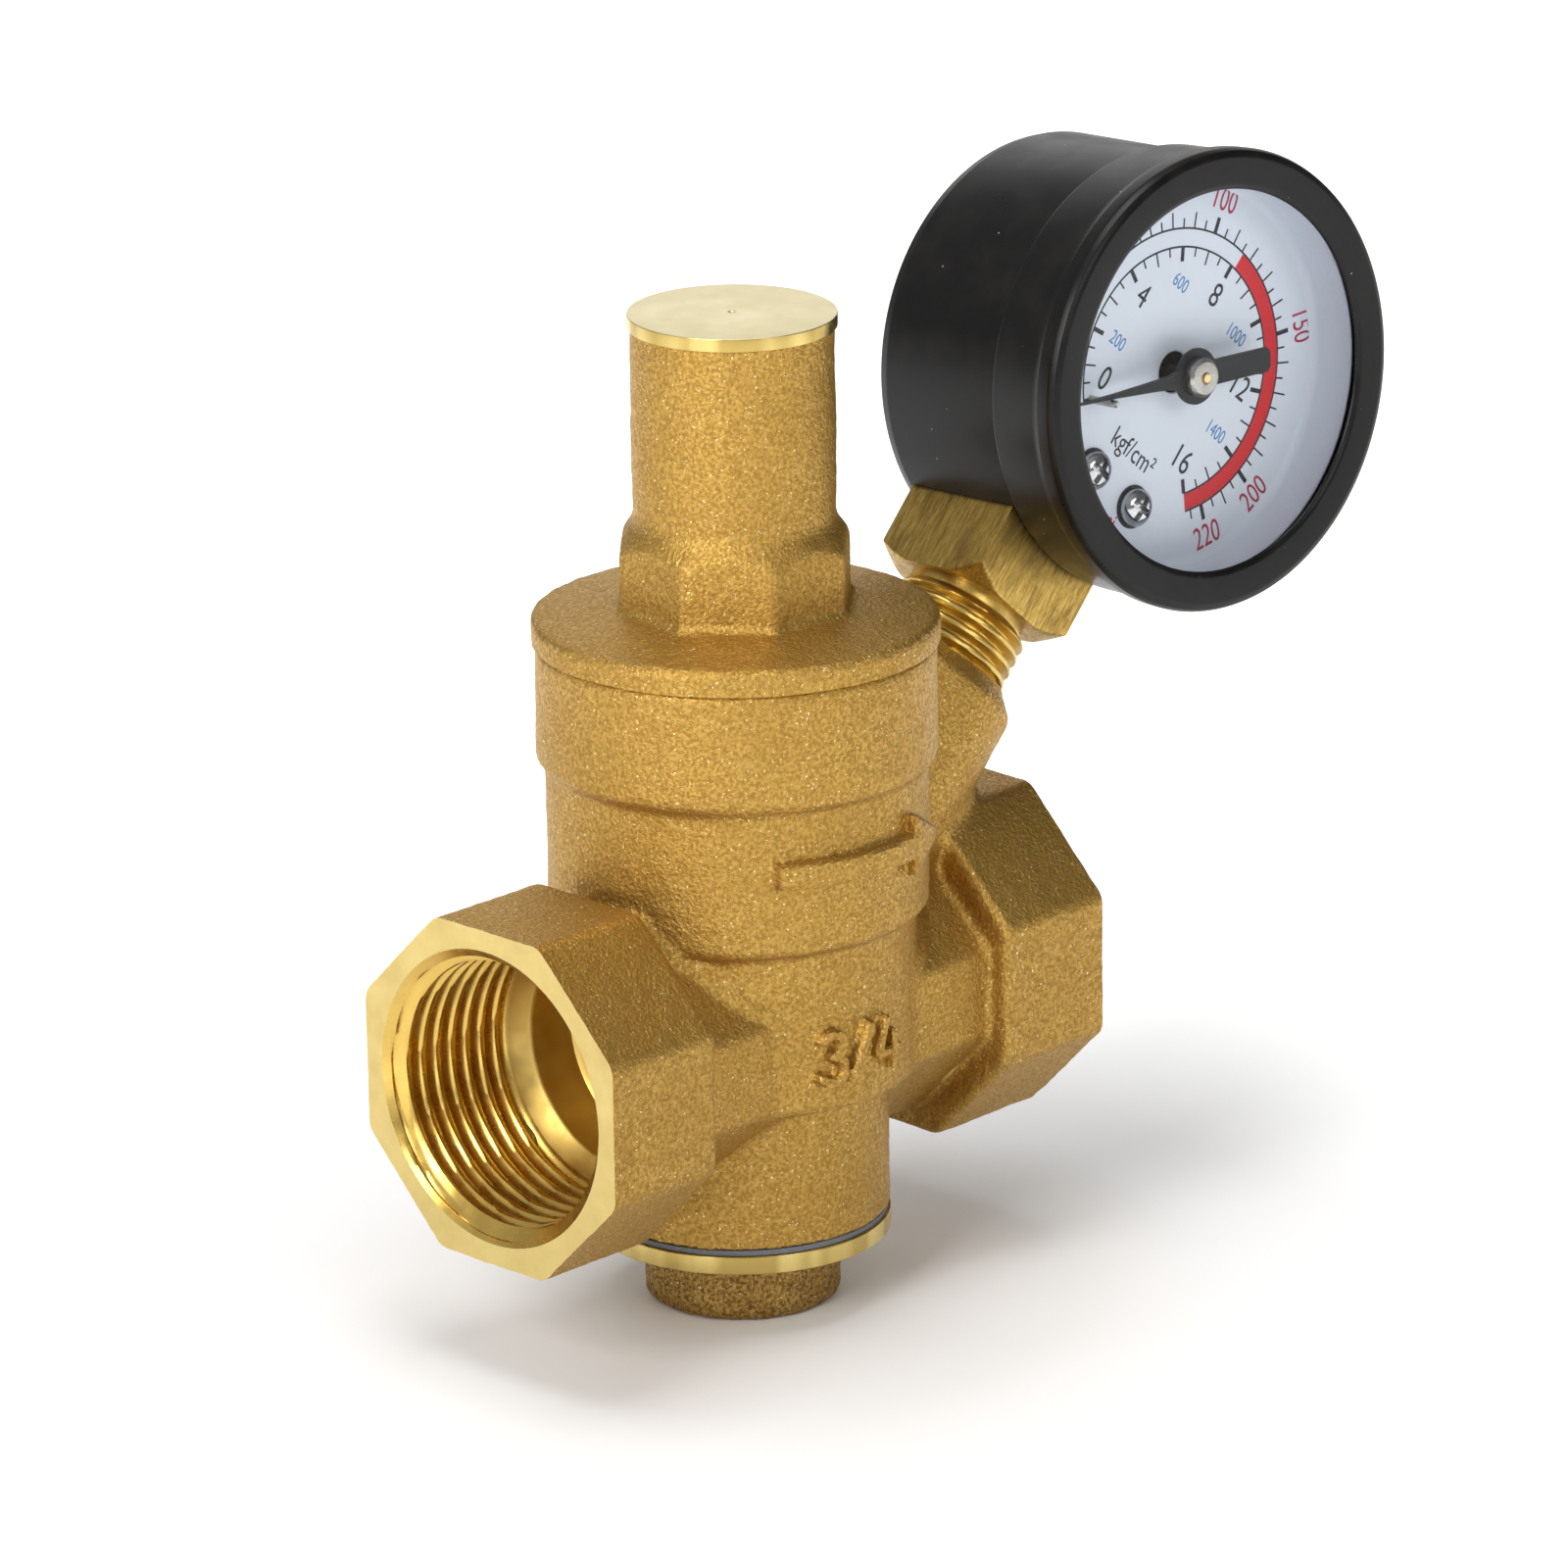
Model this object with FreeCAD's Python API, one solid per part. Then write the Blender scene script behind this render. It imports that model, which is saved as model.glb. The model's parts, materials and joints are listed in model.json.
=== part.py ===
"""Direct-acting piston pressure reducing valve, 3/4 inch, with a bottom-entry dial gauge.

Millimetres.  The origin is the centre of the flat underside of the bottom plug, on the stem
axis.  +Z is up the stem, +X is the flow direction from inlet to outlet, and the dial faces -Y.
"""
import FreeCAD, Part
import math
import os

V = FreeCAD.Vector
CENTRE = V(0, 0, 0)
UP, FLOW, BACK = V(0, 0, 1), V(1, 0, 0), V(0, 1, 0)

# ---- pipe ports: G 3/4 parallel internal thread
pipe_z = 26.7                      # height of the pipe axis
half_length = 31.5                 # stem axis to each end face
end_flats = 31.0                   # across the flats of the octagonal ends
end_length = 12.9                  # length of each octagonal end
g34_crest_r = 24.12 / 2            # plain wall at the radius of the thread's crests
port_chamfer_r = 13.6
thread_end = 13.9                  # depth where the threaded wall ends
shoulder_r = 10.4                  # smooth bore behind the thread
pocket_end_x = 11.0                # where the smooth bore stops short of the seat chamber

# ---- octagonal neck that joins the two ends through the body
neck_half, neck_flat_half = 13.3, 4.1

# ---- body column
gasket_z, body_z, body_top_z = 8.1, 8.6, 62.0
column_r, belly_r, waist_r, band_r = 13.35, 15.9, 17.1, 17.9
belly_z, waist_z, band_z = 22.4, 37.9, 51.6
arrow_z, arrow_half_length = 45.1, 10.0
arrow_head_half, arrow_shaft_half, arrow_head_length = 3.0, 1.2, 5.5
arrow_relief = 0.6

# ---- chambers inside the body
plug_thread_r = 10.8
plug_thread_top = 15.0
lower_r, upper_r = 9.2, 9.0
web_z, web_top = 28.5, 32.0
seat_hole_r, orifice_r = 7.0, 5.5
floor_z = 43.5                     # floor of the piston cylinder
cylinder_r = 13.0
bonnet_thread_r = 15.0
bonnet_shelf_z = 54.7
passage_r, inlet_passage_z, outlet_passage_z = 4.6, 20.3, 36.8

# ---- gauge port, square to Y and tilted up towards the outlet
port_tilt = 47.5                   # degrees above the pipe axis
port_foot_z = 25.5                 # where the port axis crosses the stem axis
port_boss_r, port_mouth = 8.6, 38.2
port_bottom = 29.6
g14_major_r, g14_undercut_r = 13.157 / 2, 11.7 / 2
gauge_centre = 70.9                # along the port axis
gauge_turn = -5.2                  # the gauge as tightened, turned about its stem

# ---- bonnet
seam_z, dome_r, dome_shoulder_z, dome_top_z = 62.0, 18.2, 63.2, 65.5
skirt_z = 55.5
neck_r, neck_top_z, neck_bore_r = 9.05, 90.6, 6.9
collar_flats, collar_corner_r, collar_turn = 20.0, 10.45, -4.5
collar_z, collar_slope_z = 71.5, 73.0

# ---- top cap
cap_r, cap_top_z, cap_spigot_z = 9.3, 91.85, 84.6
cap_groove_z = 88.5
running = 0.05                     # radial running clearance

# ---- bottom plug
foot_r, ring_r, ring_z = 9.1, 13.5, 6.4
foot_edge = 1.2
foot_flats = 17.7

# ---- piston and valve
stem_r, stem_bottom, stem_top = 2.5, 10.5, 50.0
piston_z, piston_top = 47.0, 53.0
piston_groove_z = 50.2
spring_foot_z, spring_top_z = 55.0, 72.0
spring_mean_r, spring_wire_r, spring_turns = 4.9, 0.9, 5.5
disc_z, disc_top = 21.5, 24.0
holder_z = 19.5
seat_lip_z = 27.0
adjuster_z, adjuster_top = 74.0, 80.0
key_flats, key_depth = 6.0, 4.6     # hexagon socket for the setting key

# ---- gauge, in its own frame: +Z up the dial, -Y out of the glass
case_r, case_wall, case_back, case_front = 20.07, 0.5, 8.83, -13.0
bezel_rear, bezel_front, bezel_r, window_r = -7.6, -16.35, 21.2, 17.45
lens_back, lens_front = -14.6, -15.6
dial_face, dial_back, dial_r = -10.0, -9.5, 19.3
blade_front, blade_back, needle_r, tail_r, hub_r = -13.0, -12.6, 14.6, 9.4, 2.6
block_side, block_bottom = 13.4, -26.3
inner_block_top, inner_block_front = -9.5, -6.0
screw_x, screw_z = 3.3, -12.45     # the dial's screws; the case's are on the same two sides
case_screw_z = -13.5
cap_hub_r, cap_hub_height = 1.8, 1.15
plate_front, plate_back, plate_thick = -4.0, 1.2, 0.8
zero_angle = -135.0                # zero of the scale, from the top of the dial
rest_angle = -131.6                # pointer against its stop pin
pinion_teeth, sector_teeth, gear_module = 12, 48, 0.35
gear_backlash = 0.12
sector_bearing = 60.0              # clockwise from the top of the dial
sector_sweep = 67.5
tube_r, tube_end_angle = 14.8, -10.0


def lathe(profile, origin=CENTRE, axis=UP):
    """Solid of revolution from (radius, height) points; a three-item point is an arc's middle."""
    edges, start, middle = [], None, None
    for item in profile + [profile[0]]:
        point = V(item[0], 0, item[1])
        if len(item) == 3:
            middle = point
            continue
        if start is not None and (point - start).Length > 1e-6:
            if middle is None:
                edges.append(Part.LineSegment(start, point).toShape())
            else:
                edges.append(Part.Arc(start, middle, point).toShape())
        start, middle = point, None
    solid = Part.Face(Part.Wire(edges)).revolve(CENTRE, UP, 360)
    solid.Placement = FreeCAD.Placement(origin, FreeCAD.Rotation(UP, axis))
    return Part.makeSolid(solid) if solid.ShapeType != "Solid" else solid


def tube(inner, outer, bottom, top):
    """Plain ring on the stem axis."""
    return lathe([(inner, bottom), (outer, bottom), (outer, top), (inner, top)])


def rod(radius, start, end, axis=UP, origin=CENTRE):
    """Cylinder between two distances along an axis."""
    return Part.makeCylinder(radius, end - start, origin + axis * start, axis)


def box(x0, x1, y0, y1, z0, z1):
    return Part.makeBox(x1 - x0, y1 - y0, z1 - z0, V(x0, y0, z0))


def prism(points, height, axis):
    """Straight prism from a closed outline of vectors."""
    return Part.Face(Part.makePolygon(points + [points[0]])).extrude(axis * height)


def octagon(half, flat_half, place):
    """Eight corners of an octagon; place turns (across, up) into a vector."""
    corners = [(half, flat_half), (flat_half, half), (-flat_half, half), (-half, flat_half),
               (-half, -flat_half), (-flat_half, -half), (flat_half, -half), (half, -flat_half)]
    return [place(across, up) for across, up in corners]


def hexagon(flats, bottom, height):
    """Upright hexagonal prism on the stem axis."""
    corner = flats / math.sqrt(3)
    turns = [math.radians(60 * k) for k in range(6)]
    points = [V(corner * math.cos(turn), corner * math.sin(turn), bottom) for turn in turns]
    return prism(points, height, UP)


PORT_AXIS = V(math.cos(math.radians(port_tilt)), 0, math.sin(math.radians(port_tilt)))
PORT_FOOT = V(0, 0, port_foot_z)
GAUGE_PLACE = FreeCAD.Placement(
    PORT_FOOT + PORT_AXIS * gauge_centre,
    FreeCAD.Rotation(BACK, 90 - port_tilt) * FreeCAD.Rotation(UP, gauge_turn))


def on_gauge(shape):
    """Move a solid from the gauge's own frame into the valve's frame."""
    moved = shape.copy()
    moved.Placement = GAUGE_PLACE.multiply(moved.Placement)
    return moved


def dial_point(radius, clockwise, y=0.0):
    """Point on the dial at an angle clockwise from its top, seen from the front."""
    angle = math.radians(clockwise)
    return V(radius * math.sin(angle), y, radius * math.cos(angle))


# ------------------------------------------------------------------ pressure body

def threaded_port(side):
    """Cutter for one pipe port; side is -1 at the inlet and +1 at the outlet."""
    shoulder = thread_end + 1.3
    profile = [(0, -1), (port_chamfer_r + 1, -1), (port_chamfer_r, 0),
               (g34_crest_r, port_chamfer_r - g34_crest_r), (g34_crest_r, thread_end),
               (shoulder_r + 0.3, shoulder), (shoulder_r, shoulder),
               (shoulder_r, half_length - pocket_end_x), (0, half_length - pocket_end_x)]
    return lathe(profile, V(side * half_length, 0, pipe_z), V(-side, 0, 0))


def body_outside():
    column = lathe([(0, body_z), (column_r, body_z), (column_r, belly_z - 1.6), (belly_r, belly_z),
                    (belly_r, waist_z - 0.6), (waist_r, waist_z + 0.6), (waist_r, band_z - 0.6),
                    (band_r, band_z + 0.6), (band_r, body_top_z), (0, body_top_z)])
    neck_start = -(half_length - end_length)
    neck = prism(octagon(neck_half, neck_flat_half, lambda a, u: V(neck_start, a, pipe_z + u)),
                 -2 * neck_start, FLOW)
    flat_half = end_flats / 2 * math.tan(math.radians(22.5))
    ends = []
    for start in (-half_length, half_length - end_length):
        outline = octagon(end_flats / 2, flat_half, lambda a, u: V(start, a, pipe_z + u))
        ends.append(prism(outline, end_length, FLOW))
    boss = lathe([(0, 8), (port_boss_r, 8), (port_boss_r, port_mouth - 1.1),
                  (port_boss_r - 1.1, port_mouth), (0, port_mouth)], PORT_FOOT, PORT_AXIS)
    return column.multiFuse([neck, boss] + ends)


def body_hollows():
    stem_line = lathe([(0, body_z - 1), (plug_thread_r, body_z - 1), (plug_thread_r, plug_thread_top),
                       (lower_r, plug_thread_top), (lower_r, web_z), (seat_hole_r, web_z),
                       (seat_hole_r, web_top), (upper_r, web_top), (upper_r, floor_z),
                       (cylinder_r, floor_z), (cylinder_r, bonnet_shelf_z),
                       (bonnet_thread_r, bonnet_shelf_z), (bonnet_thread_r, body_top_z + 1),
                       (0, body_top_z + 1)])
    reach = pocket_end_x + 1.0
    inlet = rod(passage_r, -reach, -7.0, FLOW, V(0, 0, inlet_passage_z))
    outlet = rod(passage_r, 7.0, reach, FLOW, V(0, 0, outlet_passage_z))
    gauge_hole = rod(g14_major_r, port_bottom, port_mouth + 1, PORT_AXIS, PORT_FOOT)
    gauge_way = rod(2.5, 10.5, port_bottom + 1, PORT_AXIS, PORT_FOOT)
    return [stem_line, inlet, outlet, gauge_hole, gauge_way, threaded_port(-1), threaded_port(1)]


def flow_arrow():
    """Raised cast arrow on the front of the waist, pointing to the outlet."""
    tail, head, tip = -arrow_half_length, arrow_half_length - arrow_head_length, arrow_half_length
    upper = [(tail, arrow_shaft_half), (head, arrow_shaft_half), (head, arrow_head_half)]
    lower = [(along, -across) for along, across in reversed(upper)]
    outline = [V(along, 0, arrow_z + across) for along, across in upper + [(tip, 0)] + lower]
    blank = prism(outline, -20.0, BACK)
    skin = tube(waist_r - 0.5, waist_r + arrow_relief, waist_z + 1, band_z - 1)
    return blank.common(skin)


def valve_body():
    return body_outside().cut(body_hollows()).fuse(flow_arrow()).removeSplitter()


def seat_insert():
    return lathe([(orifice_r, seat_lip_z), (orifice_r + 0.6, seat_lip_z),
                  (orifice_r + 0.9, web_z - 0.8), (seat_hole_r + 1, web_z - 0.8),
                  (seat_hole_r + 1, web_z), (seat_hole_r, web_z), (seat_hole_r, web_top),
                  (orifice_r, web_top)])


def bonnet():
    shell = lathe([(cylinder_r, skirt_z), (bonnet_thread_r, skirt_z), (bonnet_thread_r, seam_z),
                   (dome_r, seam_z), (dome_r, dome_shoulder_z),
                   (dome_r - 0.75, dome_shoulder_z + 1.15, "arc"),
                   (dome_r - 2.6, dome_top_z - 0.65), (collar_flats / 2, dome_top_z),
                   (neck_r, dome_top_z + 1), (neck_r, neck_top_z), (neck_bore_r, neck_top_z),
                   (neck_bore_r, 67.0), (cylinder_r, 62.5)])
    half = collar_flats / 2
    blank = prism(octagon(half, half * math.tan(math.radians(22.5)), lambda a, u: V(a, u, 64.0)),
                  collar_slope_z - 64.0, UP)
    blank.rotate(CENTRE, UP, collar_turn)
    turned = lathe([(neck_bore_r, 64.0), (collar_corner_r, 64.0), (collar_corner_r, collar_z),
                    (neck_r, collar_slope_z), (neck_bore_r, collar_slope_z)])
    hollow = lathe([(0, 60), (cylinder_r, 60), (cylinder_r, 62.5), (neck_bore_r, 67.0),
                    (neck_bore_r, 75), (0, 75)])
    return shell.fuse(blank.common(turned).cut(hollow)).removeSplitter()


def bonnet_gasket():
    return lathe([(cylinder_r, bonnet_shelf_z), (bonnet_thread_r, bonnet_shelf_z),
                  (bonnet_thread_r, skirt_z), (cylinder_r, skirt_z)])


def bottom_plug():
    foot = lathe([(0, 0), (foot_r - foot_edge, 0),
                  (foot_r - foot_edge * 0.293, foot_edge * 0.293, "arc"), (foot_r, foot_edge),
                  (foot_r, ring_z + 0.5), (0, ring_z + 0.5)])
    half = foot_flats / 2
    faces = octagon(half, half * math.tan(math.radians(22.5)), lambda a, u: V(a, u, 0))
    foot = foot.common(prism(faces, ring_z + 1, UP))
    rest = lathe([(0, ring_z), (ring_r, ring_z), (ring_r, gasket_z), (plug_thread_r, gasket_z),
                  (plug_thread_r, plug_thread_top), (8.5, plug_thread_top), (8.5, 9.2), (4.5, 9.2),
                  (4.5, plug_thread_top), (stem_r + running, plug_thread_top),
                  (stem_r + running, 9.4), (0, 9.4)])
    return foot.fuse(rest).removeSplitter()


def plug_gasket():
    return lathe([(plug_thread_r, gasket_z), (column_r - 0.15, gasket_z),
                  (column_r - 0.15, body_z), (plug_thread_r, body_z)])


# ------------------------------------------------------------------ cap and adjuster

def top_cap():
    groove, edge = 0.6, 0.15
    spigot_r = neck_bore_r - running
    rim_z = neck_top_z + 0.02
    return lathe([(0, cap_spigot_z), (spigot_r - 0.5, cap_spigot_z),
                  (spigot_r, cap_spigot_z + 0.5), (spigot_r, cap_groove_z - groove),
                  (6.0, cap_groove_z - groove), (6.0, cap_groove_z + groove),
                  (spigot_r, cap_groove_z + groove), (spigot_r, rim_z), (cap_r - edge, rim_z),
                  (cap_r, rim_z + edge), (cap_r, cap_top_z - edge), (cap_r - edge, cap_top_z),
                  (0.35, cap_top_z), (0, cap_top_z - 0.3)])


def cap_oring():
    return Part.makeTorus(6.43, 0.41, V(0, 0, cap_groove_z), UP)


def adjusting_screw():
    screw_r, bottom = neck_bore_r - running, adjuster_z + 0.02
    blank = lathe([(0, bottom), (screw_r - 0.5, bottom), (screw_r, bottom + 0.5),
                   (screw_r, adjuster_top - 0.5), (screw_r - 0.5, adjuster_top), (0, adjuster_top)])
    return blank.cut(hexagon(key_flats, adjuster_top - key_depth, key_depth + 1.0))


def spring_seat():
    return lathe([(0, spring_top_z - 2.5), (3.0, spring_top_z - 2.5), (3.2, spring_top_z - 2.0),
                  (3.2, spring_top_z), (neck_bore_r - 0.4, spring_top_z),
                  (neck_bore_r - 0.4, adjuster_z), (0, adjuster_z)])


def regulating_spring():
    height = spring_top_z - spring_foot_z - 2 * spring_wire_r
    path = Part.makeHelix(height / spring_turns, height, spring_mean_r)
    path.translate(V(0, 0, spring_foot_z + spring_wire_r))
    start = V(spring_mean_r, 0, spring_foot_z + spring_wire_r)
    section = Part.Wire(Part.makeCircle(spring_wire_r, start, BACK))
    coil = Part.Wire(path).makePipeShell([section], True, True)
    slab = box(-8, 8, -8, 8, spring_foot_z, spring_top_z)
    return coil.common(slab)


# ------------------------------------------------------------------ piston and valve

def piston():
    outer = cylinder_r - running
    return lathe([(stem_r, stem_top), (stem_r, 44.5), (4.5, 44.5), (4.5, piston_z), (10.8, piston_z),
                  (10.8, floor_z + 0.02), (outer, floor_z + 0.02), (outer, piston_groove_z - 1.1),
                  (11.05, piston_groove_z - 1.1), (11.05, piston_groove_z + 1.1),
                  (outer, piston_groove_z + 1.1), (outer, piston_top - 0.4),
                  (outer - 0.4, piston_top), (8.0, piston_top), (8.0, 56.5), (6.3, 56.5),
                  (6.3, spring_foot_z), (0, spring_foot_z), (0, stem_top)])


def piston_oring():
    return Part.makeTorus(12.0, 0.93, V(0, 0, piston_groove_z), UP)


def valve_stem():
    collar = disc_top + 1.0
    return lathe([(0, stem_bottom), (stem_r - 0.4, stem_bottom), (stem_r, stem_bottom + 0.4),
                  (stem_r, collar), (3.6, collar), (3.6, collar + 1.2), (stem_r, collar + 1.2),
                  (stem_r, stem_top), (0, stem_top)])


def disc_holder():
    return lathe([(stem_r, holder_z), (6.4, holder_z), (7.0, holder_z + 0.6), (7.0, disc_top - 0.7),
                  (6.2, disc_top - 0.7), (6.2, disc_z), (stem_r, disc_z)])


def lock_nut():
    return hexagon(8.0, holder_z - 3.2, 3.2).cut(rod(stem_r, 10, 30))


# ------------------------------------------------------------------ gauge shell

def gauge_socket():
    """Square block, threaded stem and inner block in one piece, drilled up the middle."""
    half = block_side / 2
    square = box(-half, half, -half, half, block_bottom, -17.0)
    turned = lathe([(0, block_bottom), (half + 0.7, block_bottom), (half + 3.0, block_bottom + 1.5),
                    (half + 3.0, -16.0), (0, -16.0)])
    square = square.common(turned).cut(rod(case_r, -15, case_back + 6, BACK))
    neck = rod(4.5, -21.5, -16.5)
    inner = box(-5.5, 5.5, inner_block_front, case_back - 0.8, -17.0, inner_block_top)
    end = port_bottom - gauge_centre + 0.4
    stem = lathe([(0, end), (g14_undercut_r, end), (g14_major_r, end + 0.8),
                  (g14_major_r, block_bottom - 0.8), (g14_undercut_r, block_bottom - 0.8),
                  (g14_undercut_r, block_bottom), (0, block_bottom)])
    bore = rod(1.5, end - 1, -13.0)
    taps = [rod(0.9, inner_block_front - 1, 0.0, BACK, V(side * screw_x, 0, screw_z))
            for side in (-1, 1)]
    taps += [rod(0.9, 4.0, 9.0, BACK, V(side * screw_x, 0, case_screw_z)) for side in (-1, 1)]
    return on_gauge(square.multiFuse([neck, inner, stem]).cut([bore] + taps).removeSplitter())


def gauge_case():
    inner = case_r - case_wall
    corner = 1.6
    bend = corner * 0.293
    cup = lathe([(case_r, case_front), (case_r, case_back - corner),
                 (case_r - bend, case_back - bend, "arc"), (case_r - corner, case_back),
                 (0, case_back), (0, case_back - 0.8), (inner - 1.0, case_back - 0.8),
                 (inner, case_back - 1.8), (inner, case_front)], CENTRE, BACK)
    holes = [rod(4.5, -22, -17)]
    holes += [rod(0.9, 4.0, 12.0, BACK, V(side * screw_x, 0, case_screw_z)) for side in (-1, 1)]
    return on_gauge(cup.cut(holes))


def bezel_ring():
    front, rear = bezel_front, bezel_rear
    profile = [(case_r, rear), (case_r + 0.45, rear), (case_r + 0.55, rear - 0.3),
               (bezel_r - 0.4, front + 2.6), (bezel_r, front + 2.2), (bezel_r, front + 0.9),
               (bezel_r - 0.25, front + 0.25, "arc"), (bezel_r - 0.9, front),
               (window_r + 0.35, front + 0.2), (window_r, front + 0.45), (window_r, lens_front),
               (case_r, lens_front)]
    return on_gauge(lathe(profile, CENTRE, BACK))


def lens():
    return on_gauge(rod(case_r - 0.1, lens_front, lens_back, BACK))


def lens_gasket():
    return on_gauge(lathe([(18.4, lens_back), (case_r - 0.1, lens_back), (case_r - 0.1, case_front),
                           (18.4, case_front)], CENTRE, BACK))


def screw_places():
    return [V(side * screw_x, 0, screw_z) for side in (-1, 1)]


def dial_plate():
    plate = rod(dial_r, dial_face, dial_back, BACK)
    holes = [rod(1.9, dial_face - 1, dial_back + 1, BACK)]
    holes += [rod(1.0, dial_face - 1, dial_back + 1, BACK, place) for place in screw_places()]
    return on_gauge(plate.cut(holes))


def dial_spacers():
    tubes = [lathe([(1.0, dial_back), (1.9, dial_back), (1.9, inner_block_front),
                    (1.0, inner_block_front)], place, BACK) for place in screw_places()]
    return on_gauge(Part.makeCompound(tubes))


def pan_screw(head_r, head_height, shank_r, length, cross):
    """Screw along +Z from the seat of its head, with a cross recess."""
    screw = lathe([(0, length), (shank_r - 0.2, length), (shank_r, length - 0.3), (shank_r, 0),
                   (head_r, 0), (head_r, -head_height * 0.45),
                   (head_r * 0.82, -head_height * 0.85, "arc"), (head_r * 0.45, -head_height),
                   (0, -head_height)])
    arms = [box(-cross, cross, -0.2, 0.2, -head_height - 1, -head_height * 0.45),
            box(-0.2, 0.2, -cross, cross, -head_height - 1, -head_height * 0.45)]
    return screw.cut(arms)


def placed_screws(places, seat_y, axis, *size):
    screws = []
    for place in places:
        screw = pan_screw(*size)
        screw.Placement = FreeCAD.Placement(V(place.x, seat_y, place.z), FreeCAD.Rotation(UP, axis))
        screws.append(screw)
    return on_gauge(Part.makeCompound(screws))


def dial_screws():
    return placed_screws(screw_places(), dial_face, BACK, 1.75, 1.35, 0.9, 7.5, 1.15)


def case_screws():
    places = [V(side * screw_x, 0, case_screw_z) for side in (-1, 1)]
    return placed_screws(places, case_back, V(0, -1, 0), 1.6, 1.1, 0.9, 4.5, 1.0)


def stop_pin():
    place = dial_point(10.6, zero_angle)
    end = blade_front - 0.5
    pin = lathe([(0, dial_back - 0.5), (0.35, dial_back - 0.5), (0.35, end + 0.2), (0.2, end),
                 (0, end)], place, BACK)
    return on_gauge(pin)


# ------------------------------------------------------------------ gauge movement

def involute_outline(teeth, addendum, dedendum, first, last):
    """Tooth outline from tooth number first to last, tooth 0 centred on angle 0."""
    pitch_r = gear_module * teeth / 2
    base_r = pitch_r * math.cos(math.radians(20))
    tip_r, root_r = pitch_r + addendum, pitch_r - dedendum
    half = (math.pi * gear_module / 2 - gear_backlash) / 2 / pitch_r
    lead = math.tan(math.radians(20)) - math.radians(20)

    def half_angle(radius):
        if radius <= base_r:
            return half + lead
        spread = math.acos(base_r / radius)
        return half + lead - (math.tan(spread) - spread)

    low_r = max(base_r, root_r)
    radii = [root_r] if root_r < base_r else []
    radii += [low_r + (tip_r - low_r) * step / 4 for step in range(5)]
    points = []
    for tooth in range(first, last + 1):
        middle = 2 * math.pi * tooth / teeth
        points += [(radius, middle - half_angle(radius)) for radius in radii]
        points += [(radius, middle + half_angle(radius)) for radius in reversed(radii)]
    return points


def gear_prism(points, centre, turn, front, back):
    """Extrude polar (radius, angle) points about a centre on the movement, between two depths."""
    corners = []
    for radius, angle in points:
        bearing = turn + angle
        corners.append(V(centre.x + radius * math.sin(bearing), front,
                         centre.z + radius * math.cos(bearing)))
    return prism(corners, back - front, BACK)


SECTOR_PIVOT = dial_point(gear_module * (pinion_teeth + sector_teeth) / 2, sector_bearing)


def arbor_pinion():
    """Pointer arbor with its pinion, turning about the dial's axis."""
    bearing = math.radians(sector_bearing)
    teeth = gear_prism(involute_outline(pinion_teeth, 0.3, 0.42, 0, pinion_teeth - 1), CENTRE,
                       bearing, -2.0, -0.4)
    tip = lens_back + 0.3
    shaft = lathe([(0, tip), (0.4, tip), (0.4, blade_front), (0.6, blade_front), (0.6, 2.4),
                   (0, 2.4)], CENTRE, BACK)
    return on_gauge(teeth.fuse(shaft))


def sector_gear():
    """Toothed sector, turned so that a gap between its teeth meets the pinion at rest."""
    end_tooth, plate_front_y, plate_back_y = 6, -1.6, -0.8
    teeth = involute_outline(sector_teeth, 0.28, 0.42, -end_tooth, end_tooth)
    turn = math.radians(sector_bearing + 180 + sector_sweep / 2)
    span = 2 * math.pi * (end_tooth + 0.25) / sector_teeth
    root_r = gear_module * sector_teeth / 2 - 0.42
    back_arc = [(root_r - 1.4, span * (1 - step / 6)) for step in range(13)]

    def piece(points):
        return gear_prism(points, SECTOR_PIVOT, turn, plate_front_y, plate_back_y)

    pieces = [rod(1.6, plate_front_y, plate_back_y, BACK, SECTOR_PIVOT),
              piece([(3.6, math.pi - 0.22), (3.6, math.pi + 0.22), (1.0, math.pi + 0.9),
                     (1.0, math.pi - 0.9)])]
    for side in (-1, 1):
        pieces.append(piece([(1.2, side * 1.3), (root_r - 1.0, side * span * 0.9),
                             (root_r - 1.0, side * span * 0.62), (1.2, side * 0.3)]))
    hole = rod(0.6, -3, 1, BACK, SECTOR_PIVOT)
    return on_gauge(piece(teeth + back_arc).multiFuse(pieces).cut(hole).removeSplitter())


def sector_arbor():
    return on_gauge(rod(0.6, plate_front - 0.3, plate_back + plate_thick + 0.3, BACK, SECTOR_PIVOT))


PLATE_PILLARS = [V(-4.5, 0, 2.6), V(-4.5, 0, -7.9), V(7.5, 0, -7.5)]


def movement_plate(front):
    plate = box(-6.0, 11.0, front, front + plate_thick, inner_block_top, 7.0)
    holes = [rod(0.65, front - 1, front + 2, BACK, place) for place in (CENTRE, SECTOR_PIVOT)]
    holes += [rod(0.5, front - 1, front + 2, BACK, place) for place in PLATE_PILLARS]
    return on_gauge(plate.cut(holes))


def movement_pillars():
    pillars = []
    for place in PLATE_PILLARS:
        wide = rod(0.9, plate_front + plate_thick, plate_back, BACK, place)
        pin = rod(0.5, plate_front - 0.3, plate_back + plate_thick + 0.3, BACK, place)
        pillars.append(wide.fuse(pin).removeSplitter())
    return on_gauge(Part.makeCompound(pillars))


def tube_end():
    angle = math.radians(tube_end_angle)
    return V(tube_r * math.cos(angle), 0, tube_r * math.sin(angle))


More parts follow.
